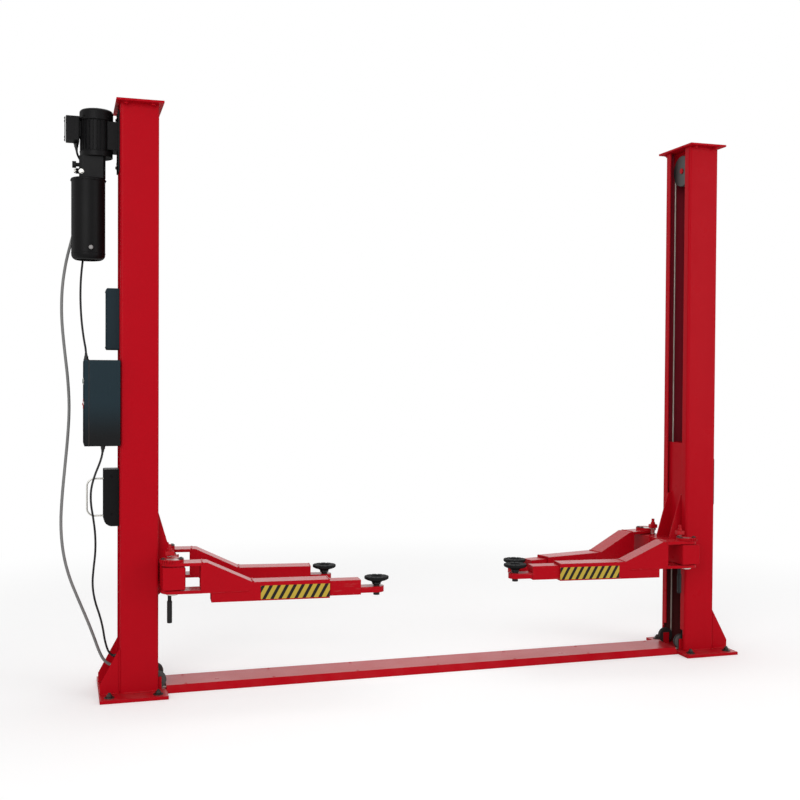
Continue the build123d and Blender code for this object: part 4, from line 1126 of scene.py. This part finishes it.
class LIFT_OT_chains(bpy.types.Operator):
    """Makes the leaf chains that raise the carriages"""
    bl_idname = "lift.chains"
    bl_label = "Lifting Chains"

    def execute(self, context):
        for side, sign in SIDES.items():
            x = sign * CYLINDER_X
            for kind, y, low, high, body, start, end in (
                ("lift", CHAIN_Y, 0.504, 1.257, "carriage", CHAIN_FIXED_Z, 0.500),
                ("base", -CHAIN_Y, 0.061, 1.262, "ram", 0.060, 1.262),
            ):
                strand = make_piece(f"{side}_{kind}_links", chain_strand(x, y, low, high),
                                    FINISHES["chain"])
                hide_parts(f"{side}_{kind}_chain")
                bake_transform(strand)
        return {"FINISHED"}


class LIFT_OT_arm_hardware(bpy.types.Operator):
    """Makes the bolts of the arms' gears and the caps of the carriages' beams"""
    bl_idname = "lift.arm_hardware"
    bl_label = "Arm Hardware"

    def execute(self, context):
        flats = context.scene.lift_hardware.screw_flats
        for side, row in ARMS:
            place = arm_place(side, row)
            head = bolt(flats, 0.004)
            ring = [at(0.0435 * cos(a), 0.0435 * sin(a), 0.664, Matrix.Rotation(a, 4, "Z"))
                    for a in (radians(20), radians(-20), radians(180))]
            make_piece(f"{side}_{row}_arm_bolts", placed(placed(head, *ring), place),
                       FINISHES["anchor"], f"{side}_{row}_arm")
        for side, sign in SIDES.items():
            cap = plate(0.102, 0.102, 0.0055, 0.008, 0.0015, 48)
            middle, level = sign * (BEAM_FACE + INNER - BEAM_IN) / 2, (BEAM_BOTTOM + BEAM_TOP) / 2
            ends = [at(middle, y * (BEAM_END - 0.004), level, facing((0, y, 0))) for y in (-1, 1)]
            make_piece(f"{side}_beam_caps", placed(cap, *ends), FINISHES["coat"],
                       f"{side}_carriage")
        return {"FINISHED"}


class LIFT_OT_pad_screws(bpy.types.Operator):
    """Makes the threaded screws of the pads, each with its collar"""
    bl_idname = "lift.pad_screws"
    bl_label = "Pad Screws"

    def execute(self, context):
        collar = turned([(0.0205, 0.5110), (0.0220, 0.5122), (0.0220, 0.5188), (0.0205, 0.5199)],
                        40)
        for side, row in ARMS:
            stem = joined(threaded(0.016, 0.458, 0.512, 0.004, 0.0013, 32), collar)
            piece = make_piece(f"{side}_{row}_threaded_screw",
                               placed(stem, arm_place(side, row) @ at(ARMS[side, row][0], 0, 0)),
                               FINISHES["screw"], f"{side}_{row}_pad")
            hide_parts(f"{side}_{row}_pad_screw")
        return {"FINISHED"}


class LIFT_OT_rods(bpy.types.Operator):
    """Makes the release rods of the arm locks, with their pawls, nuts, springs and ribbed grips"""
    bl_idname = "lift.rods"
    bl_label = "Release Rods"

    def execute(self, context):
        for side, sign in SIDES.items():
            rod = turned([(0.0080, 0.452), (0.0090, 0.453), (0.0090, 0.690)], 28)
            end = threaded(0.0088, 0.689, 0.722, 0.0020, 0.0008, 24)
            nuts = joined(washer(0.0165, 0.0025, 0.6900), hexagon(0.024, 0.010, 0.6925))
            pawl = placed(plate(0.044, 0.030, 0.020, 0.004, 0.002), at(0, 0, 0.670))
            spots = [at(sign * ROD_X, y, 0) for y in (-ROD_Y, ROD_Y)]
            grips = joined(placed(self.grip(0.345), spots[0]),
                           placed(self.grip(0.452, 0.046), spots[1]))
            piece = make_piece(f"{side}_release_rods",
                               joined(grips, placed(joined(rod, end, nuts, pawl), *spots)),
                               FINISHES["rod"], f"{side}_carriage")
            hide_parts(f"{side}_restraint_rods")
            make_piece(f"{side}_rod_springs",
                       placed(spring(0.0125, 0.0022, 0.6325, 0.6685, 5), *spots), FINISHES["zinc"],
                       f"{side}_carriage")
        return {"FINISHED"}

    @staticmethod
    def grip(low, length=0.107):
        """A ribbed grip: r(z) = R - d |sin(pi z / p)| between its rounded ends."""
        z = np.linspace(low, low + length, 90)
        r = 0.0128 - 0.0010 * np.abs(np.sin(pi * (z - z[0]) / 0.0107))
        near = np.minimum(z - z[0], z[-1] - z)
        r *= np.clip(near / 0.004 + 0.55, 0, 1) ** 0.5
        return turned(np.stack([r, z], -1), 28)


class LIFT_OT_pads(bpy.types.Operator):
    """Makes the moulded rubber pads with their grooved tops"""
    bl_idname = "lift.pads"
    bl_label = "Lifting Pads"

    def execute(self, context):
        for side, row in ARMS:
            pad = placed(self.shape(ARMS[side, row][0]), arm_place(side, row))
            piece = make_piece(f"{side}_{row}_moulded_pad", pad, FINISHES["rubber"],
                               f"{side}_{row}_pad")
            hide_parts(f"{side}_{row}_pad")
        return {"FINISHED"}

    @staticmethod
    def shape(reach):
        """A turned profile whose top sinks by d g(r) h(a): h(a) is 1 in twelve narrow grooves
        across the rim and g(r) keeps them between the dish and the edge."""
        profile = np.array([
            (0.0215, 0.5200), (0.0235, 0.5202), (0.0255, 0.5222), (0.0290, 0.5250),
            (0.0360, 0.5280), (0.0450, 0.5302), (0.0520, 0.5330), (0.0570, 0.5358),
            (0.0594, 0.5382), (0.0600, 0.5410), (0.0600, 0.5450), (0.0596, 0.5478),
            (0.0584, 0.5494), (0.0565, 0.5500), (0.0540, 0.5500), (0.0500, 0.5500),
            (0.0450, 0.5500), (0.0400, 0.5500), (0.0350, 0.5500), (0.0300, 0.5500),
            (0.0275, 0.5495), (0.0260, 0.5470), (0.0245, 0.5445), (0.0220, 0.5440),
            (0.0120, 0.5440), (0.0095, 0.5435), (0.0090, 0.5400), (0.0085, 0.5360),
        ])
        a = np.arange(144) * 2 * pi / 144
        r, z = profile.T
        groove = np.clip(1.6 - np.abs(np.mod(a * 12 / (2 * pi), 1) - 0.5) * 16, 0, 1)
        reach_in = np.clip((r - 0.031) / 0.003, 0, 1) * (z > 0.544)
        depth = 0.0032 * reach_in[:, None] * groove[None]
        points = np.stack([reach + r[:, None] * np.cos(a), r[:, None] * np.sin(a),
                           z[:, None] - depth], -1)
        return skin(points)


class LIFT_OT_power_unit(bpy.types.Operator):
    """Makes the bracket, grille, screws, fittings and plugs of the power unit"""
    bl_idname = "lift.power_unit"
    bl_label = "Power Unit Details"

    def execute(self, context):
        self.motor()
        self.bracket()
        self.terminal_box()
        self.fittings()
        self.tank()
        return {"FINISHED"}

    @staticmethod
    def motor():
        """The fan grille, the screws round the cowl and the seams at its ends."""
        rings = [torus(r, 0.0016) for r in (0.020, 0.032, 0.044, 0.056)]
        spokes = [tube(line((0.008 * cos(a), 0.008 * sin(a), 0),
                            (0.060 * cos(a), 0.060 * sin(a), 0), 0.01), 0.0016, 8)
                  for a in np.arange(8) * pi / 4]
        hub = turned([(0.010, -0.001), (0.010, 0.002), (0.008, 0.0035)], 24)
        grille = placed(joined(hub, *rings, *spokes), at(MOTOR_X, 0, MOTOR_TOP + 0.0006))
        lugs = [at(MOTOR_X + MOTOR_RADIUS * cos(a), MOTOR_RADIUS * sin(a), 2.755,
                   facing((cos(a), sin(a), 0))) for a in radians(40) + np.arange(4) * pi / 2]
        screws = placed(cap_screw(0.0045, 0.004), *lugs)
        seam = placed(torus(0.0782, 0.0014), at(MOTOR_X, 0, 2.740))
        foot = placed(torus(0.0762, 0.0016), at(MOTOR_X, 0, 2.592))
        make_piece("motor_grille", joined(grille, screws, seam, foot), FINISHES["unit"], "root")

    def bracket(self):
        """The back plate on the column, with four bolts, and the saddle that holds the motor."""
        back = placed(plate(0.150, 0.285, 0.008, 0.006, 0.0015, 48), at(-OUTER, 0, 2.6475, SIDE_ON))
        saddle = self.saddle(-1.622, 0.060, 2.600, 2.733)
        heads = [at(-1.623, dy, z, OUTWARD) for dy in (-0.050, 0.050) for z in (2.535, 2.765)]
        piece = make_piece("motor_bracket",
                           joined(back, saddle, placed(bolt(0.012, 0.005), *heads)),
                           FINISHES["unit"], "root")
        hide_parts("power_bracket")

    @staticmethod
    def terminal_box():
        """The terminal box's lid with its screws, and the glands of the two cables."""
        lid = placed(plate(0.082, 0.104, 0.004, 0.008, 0.002), at(-1.8623, 0, TERMINAL_Z, SIDE_ON))
        corners = [at(-1.8660, dy, TERMINAL_Z + dz, OUTWARD) for dy in (-0.034, 0.034)
                   for dz in (-0.045, 0.045)]
        make_piece("terminal_lid", joined(lid, placed(cap_screw(0.0035, 0.0022), *corners)),
                   FINISHES["unit"], "root")
        sleeve_end = turned([(0.0095, -0.020), (0.0102, -0.012), (0.0102, -0.008)], 24)
        gland = joined(hexagon(0.022, 0.008, -0.008), sleeve_end)
        sockets = [at(*MOTOR_CABLE_POINTS[0]),
                   at(*MOTOR_CABLE_POINTS[-1], Matrix.Rotation(pi, 4, "X")),
                   at(*CONTROL_CABLE_POINTS[0])]
        make_piece("cable_glands", placed(gland, *sockets), FINISHES["button_black"], "root")

    @staticmethod
    def fittings():
        """The hose's two unions and the pump's plug, valve and drain screw."""
        def nipple(wide, narrow, low, high):
            return turned([(wide, low), (narrow, high)], 24)

        def screw(plate_radius, flats, height):
            return joined(washer(plate_radius, 0.002), hexagon(flats, height, 0.002))

        _, foot_y, foot_z = HOSE_POINTS[-1]
        bright = (
            (joined(hexagon(0.027, 0.016), nipple(0.0125, 0.0118, 0.016, 0.024)),
             at(-1.785, 0.100, 2.4665)),
            (hexagon(0.024, 0.012), at(-1.785, 0.056, PUMP_Z, facing((0, 1, 0)))),
            (screw(0.015, 0.019, 0.008), at(PUMP_FACE - 0.014, 0.024, PUMP_Z, OUTWARD)),
            (screw(0.012, 0.017, 0.010), at(-1.790, -0.054, 2.492, facing((0, -1, 0)))),
            (joined(hexagon(0.024, 0.010), nipple(0.0112, 0.0105, 0.010, 0.030)),
             at(-1.622, foot_y, foot_z, OUTWARD)),
        )
        make_piece("hydraulic_fittings", joined(*(placed(*fitting) for fitting in bright)),
                   FINISHES["bezel"], "root")

    @staticmethod
    def tank():
        """The band and screws round the tank's top, the seam at its foot and the filler plug."""
        band = placed(turned([(0.0790, 0.0), (0.0812, 0.002), (0.0812, 0.010), (0.0790, 0.012)],
                             64), at(TANK_X, 0, 2.451))
        seam = placed(torus(0.0787, 0.0015), at(TANK_X, 0, 2.110))
        lugs = [at(TANK_X + 0.0805 * cos(a), 0.0805 * sin(a), 2.457, facing((cos(a), sin(a), 0)))
                for a in radians(-70) + np.arange(6) * pi / 3]
        make_piece("tank_band", joined(band, seam, placed(cap_screw(0.004, 0.003), *lugs)),
                   FINISHES["unit"], "root")
        plug = joined(turned([(0.0085, 0.0), (0.0098, 0.001), (0.0098, 0.0035), (0.0086, 0.0048)],
                             32), hexagon(0.010, 0.004, 0.0045))
        make_piece("tank_plug", placed(plug, at(-1.747, -0.0862, 2.132, facing((0, -1, 0)))),
                   FINISHES["cap_plastic"], "root")

    @staticmethod
    def saddle(face, half, low, high):
        """The block that holds the motor: rows across Y, each out to the motor's round side,
        x(y) = motor x + sqrt(R^2 - y^2)."""
        y = np.linspace(-half, half, 25)
        near = MOTOR_X + np.sqrt(MOTOR_RADIUS ** 2 - y ** 2)
        ring = [np.stack([x, y, np.full_like(y, z)], -1) for x, z in
                ((np.full_like(y, face), low), (near, low), (near, high),
                 (np.full_like(y, face), high))]
        return skin(np.stack(ring, 1))


class LIFT_OT_boxes(bpy.types.Operator):
    """Makes the control box's door, seal and buttons, the junction box's lid, and the lock covers'
    case and screws"""
    bl_idname = "lift.boxes"
    bl_label = "Box Details"

    def execute(self, context):
        self.control_box()
        self.junction_box()
        self.lock_covers()
        return {"FINISHED"}

    def control_box(self):
        """The door with its hinges, seal, bezels and lock, three buttons and the main switch."""
        shell = placed(plate(0.284, 0.399, 0.0016, 0.009, 0.0012, 56),
                       at(-1.7770, 0, CONTROL_Z, SIDE_ON))
        hinges = [at(-1.7740, 0.149, z) for z in (1.275, 1.520)]
        barrel = turned([(0.0038, -0.024), (0.0046, -0.0225), (0.0046, 0.0225), (0.0038, 0.024)],
                        16)
        make_piece("control_box_door", joined(shell, placed(barrel, *hinges)), FINISHES["box"],
                   "root")
        make_piece("control_box_seal", self.rim(-1.757, 0.1453, 1.1947, 1.6003), FINISHES["seal"],
                   "root")
        bezel = turned([(0.0150, 0), (0.0158, 0.0008), (0.0150, 0.0020), (0.0125, 0.0022)], 36)
        spots = [at(CONTROL_FACE, 0.060 - 0.060 * k, 1.500, OUTWARD) for k in range(3)]
        lock = joined(turned([(0.0090, 0), (0.0095, 0.001), (0.0085, 0.003)], 24),
                      plate(0.003, 0.012, 0.0045, 0.0012, 0.0006))
        bezels = joined(placed(bezel, *spots),
                        placed(lock, at(CONTROL_FACE, -0.115, CONTROL_Z, OUTWARD)))
        make_piece("control_box_bezels", bezels, FINISHES["bezel"], "root")
        crown = turned([(0.0118, 0.0010), (0.0118, 0.0030), (0.0100, 0.0038), (0.0050, 0.0040)], 32)
        for name, spot, tone in zip(("raise", "lower", "lock"), spots, ("green", "black", "black")):
            make_piece(f"{name}_button", placed(crown, spot), FINISHES[f"button_{tone}"], "root")
        knob = joined(turned([(0.024, 0), (0.0245, 0.001), (0.0235, 0.0030)], 40),
                      placed(plate(0.012, 0.038, 0.0040, 0.004, 0.0015), at(0, 0, 0.002)))
        make_piece("main_switch", placed(knob, at(CONTROL_FACE, 0, 1.390, OUTWARD)),
                   FINISHES["button_red"], "root")

    @staticmethod
    def junction_box():
        """The junction box's lid and its four screws."""
        lid = placed(plate(0.116, 0.287, 0.0035, 0.008, 0.002, 48),
                     at(-1.6720, 0, JUNCTION_Z, SIDE_ON))
        screws = [at(-1.6753, dy, JUNCTION_Z + dz, OUTWARD) for dy in (-0.050, 0.050)
                  for dz in (-0.134, 0.134)]
        make_piece("junction_lid", joined(lid, placed(cap_screw(0.0038, 0.0022), *screws)),
                   FINISHES["box"], "root")

    def lock_covers(self):
        """The right column's cover, and the screws and rims of both covers."""
        cover = make_piece("right_lock_case", self.lock_case(LOCK_DEPTH["right"]), FINISHES["unit"],
                           "root")
        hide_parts("right_lock_cover")
        for side, sign in SIDES.items():
            deep, near = sign * (OUTER + LOCK_DEPTH[side] / 2), sign * (OUTER + 0.0016)
            heads = [at(deep, y * LOCK_HALF, z, facing((0, y, 0))) for y in (-1, 1)
                     for z in (0.865, 1.045)]
            rims = [bead((near, y, LOCK_LOW + 0.006), (near, y, LOCK_HIGH - 0.006), 0.0016,
                         (0, 1, 0)) for y in (-LOCK_HALF - 0.001, LOCK_HALF + 0.001)]
            make_piece(f"{side}_lock_screws",
                       joined(placed(cap_screw(0.0055, 0.0035), *heads), *rims), FINISHES["unit"],
                       "root")

    @staticmethod
    def lock_case(depth, corner=0.020, top_corner=0.006):
        """A lock cover: its outline in XZ has round outer corners, and each row of it along Y is
        drawn in towards the ends by the same small rounding."""
        a = np.linspace(0, pi / 2, 9)
        far = OUTER + depth
        outline = np.concatenate([
            [(OUTER, LOCK_LOW)],
            np.stack([far - corner + corner * np.sin(a), LOCK_LOW + corner - corner * np.cos(a)],
                     -1),
            np.stack([far - top_corner + top_corner * np.cos(a),
                      LOCK_HIGH - top_corner + top_corner * np.sin(a)], -1),
            [(OUTER, LOCK_HIGH)],
        ])
        middle = np.array([OUTER + depth / 2, (LOCK_LOW + LOCK_HIGH) / 2])
        half = np.abs(outline - middle).max(0)
        y = np.array([-LOCK_HALF, -LOCK_HALF + 0.001, -LOCK_HALF + 0.003, LOCK_HALF - 0.003,
                      LOCK_HALF - 0.001, LOCK_HALF])
        inset = np.array([0.003, 0.001, 0, 0, 0.001, 0.003])
        share = 1 - inset[:, None, None] / half
        xz = middle + (outline - middle)[None] * share
        xz[:, [0, -1], 0] = OUTER
        return skin(np.stack([xz[..., 0], np.broadcast_to(y[:, None], xz.shape[:2]), xz[..., 1]],
                             -1))

    @staticmethod
    def rim(x, y, low, high):
        """A thin rim round the control box where its door closes."""
        corners = [(x, -y, low), (x, y, low), (x, y, high), (x, -y, high)]
        runs = [tube(line(a, b, 0.05), 0.0012, 8, (1, 0, 0))
                for a, b in zip(corners, corners[1:] + corners[:1])]
        return joined(*runs)


class LIFT_OT_cover_screws(bpy.types.Operator):
    """Makes the countersunk screws of the floor cover"""
    bl_idname = "lift.cover_screws"
    bl_label = "Cover Screws"

    def execute(self, context):
        head = turned([(0.0075, -0.001), (0.0080, 0.0006), (0.0070, 0.0013), (0.0030, 0.0013),
                       (0.0026, 0.0004)], 20)
        spots = [at(x, y, 0.032) for x in np.linspace(-1.30, 1.30, 7) for y in (-0.078, 0.078)]
        make_piece("cover_screws", placed(head, *spots), FINISHES["coat"], "root")
        return {"FINISHED"}


class LIFT_PT_panel(bpy.types.Panel):
    """Lists the operators and the values that they use"""
    bl_idname = "LIFT_PT_panel"
    bl_label = "Two Post Lift"
    bl_space_type = "VIEW_3D"
    bl_region_type = "UI"
    bl_category = "Lift"

    def draw(self, context):
        for operator in OPERATORS:
            self.layout.operator(operator.bl_idname)
        for name in GROUPS:
            values = getattr(context.scene, name)
            for key in values.__annotations__:
                self.layout.prop(values, key)


OPERATORS = (
    LIFT_OT_stage, LIFT_OT_finishes, LIFT_OT_cords, LIFT_OT_stripes, LIFT_OT_anchors, LIFT_OT_welds,
    LIFT_OT_ropes, LIFT_OT_chains, LIFT_OT_arm_hardware, LIFT_OT_rods, LIFT_OT_pad_screws,
    LIFT_OT_pads, LIFT_OT_power_unit, LIFT_OT_boxes, LIFT_OT_cover_screws,
)
GROUPS = {"lift_paint": LiftPaint, "lift_hardware": LiftHardware, "lift_cords": LiftCords,
          "lift_stage": LiftStage}


def register():
    for kind in (*GROUPS.values(), *OPERATORS, LIFT_PT_panel):
        bpy.utils.register_class(kind)
    for name, kind in GROUPS.items():
        setattr(bpy.types.Scene, name, PointerProperty(type=kind))


def unregister():
    for name in GROUPS:
        delattr(bpy.types.Scene, name)
    for kind in (LIFT_PT_panel, *reversed(OPERATORS), *GROUPS.values()):
        bpy.utils.unregister_class(kind)


def main():
    """Runs every operator in order."""
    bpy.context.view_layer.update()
    register()
    for operator in OPERATORS:
        group, name = operator.bl_idname.split(".")
        getattr(getattr(bpy.ops, group), name)()
    bpy.context.view_layer.update()


if __name__ == "__main__":
    main()
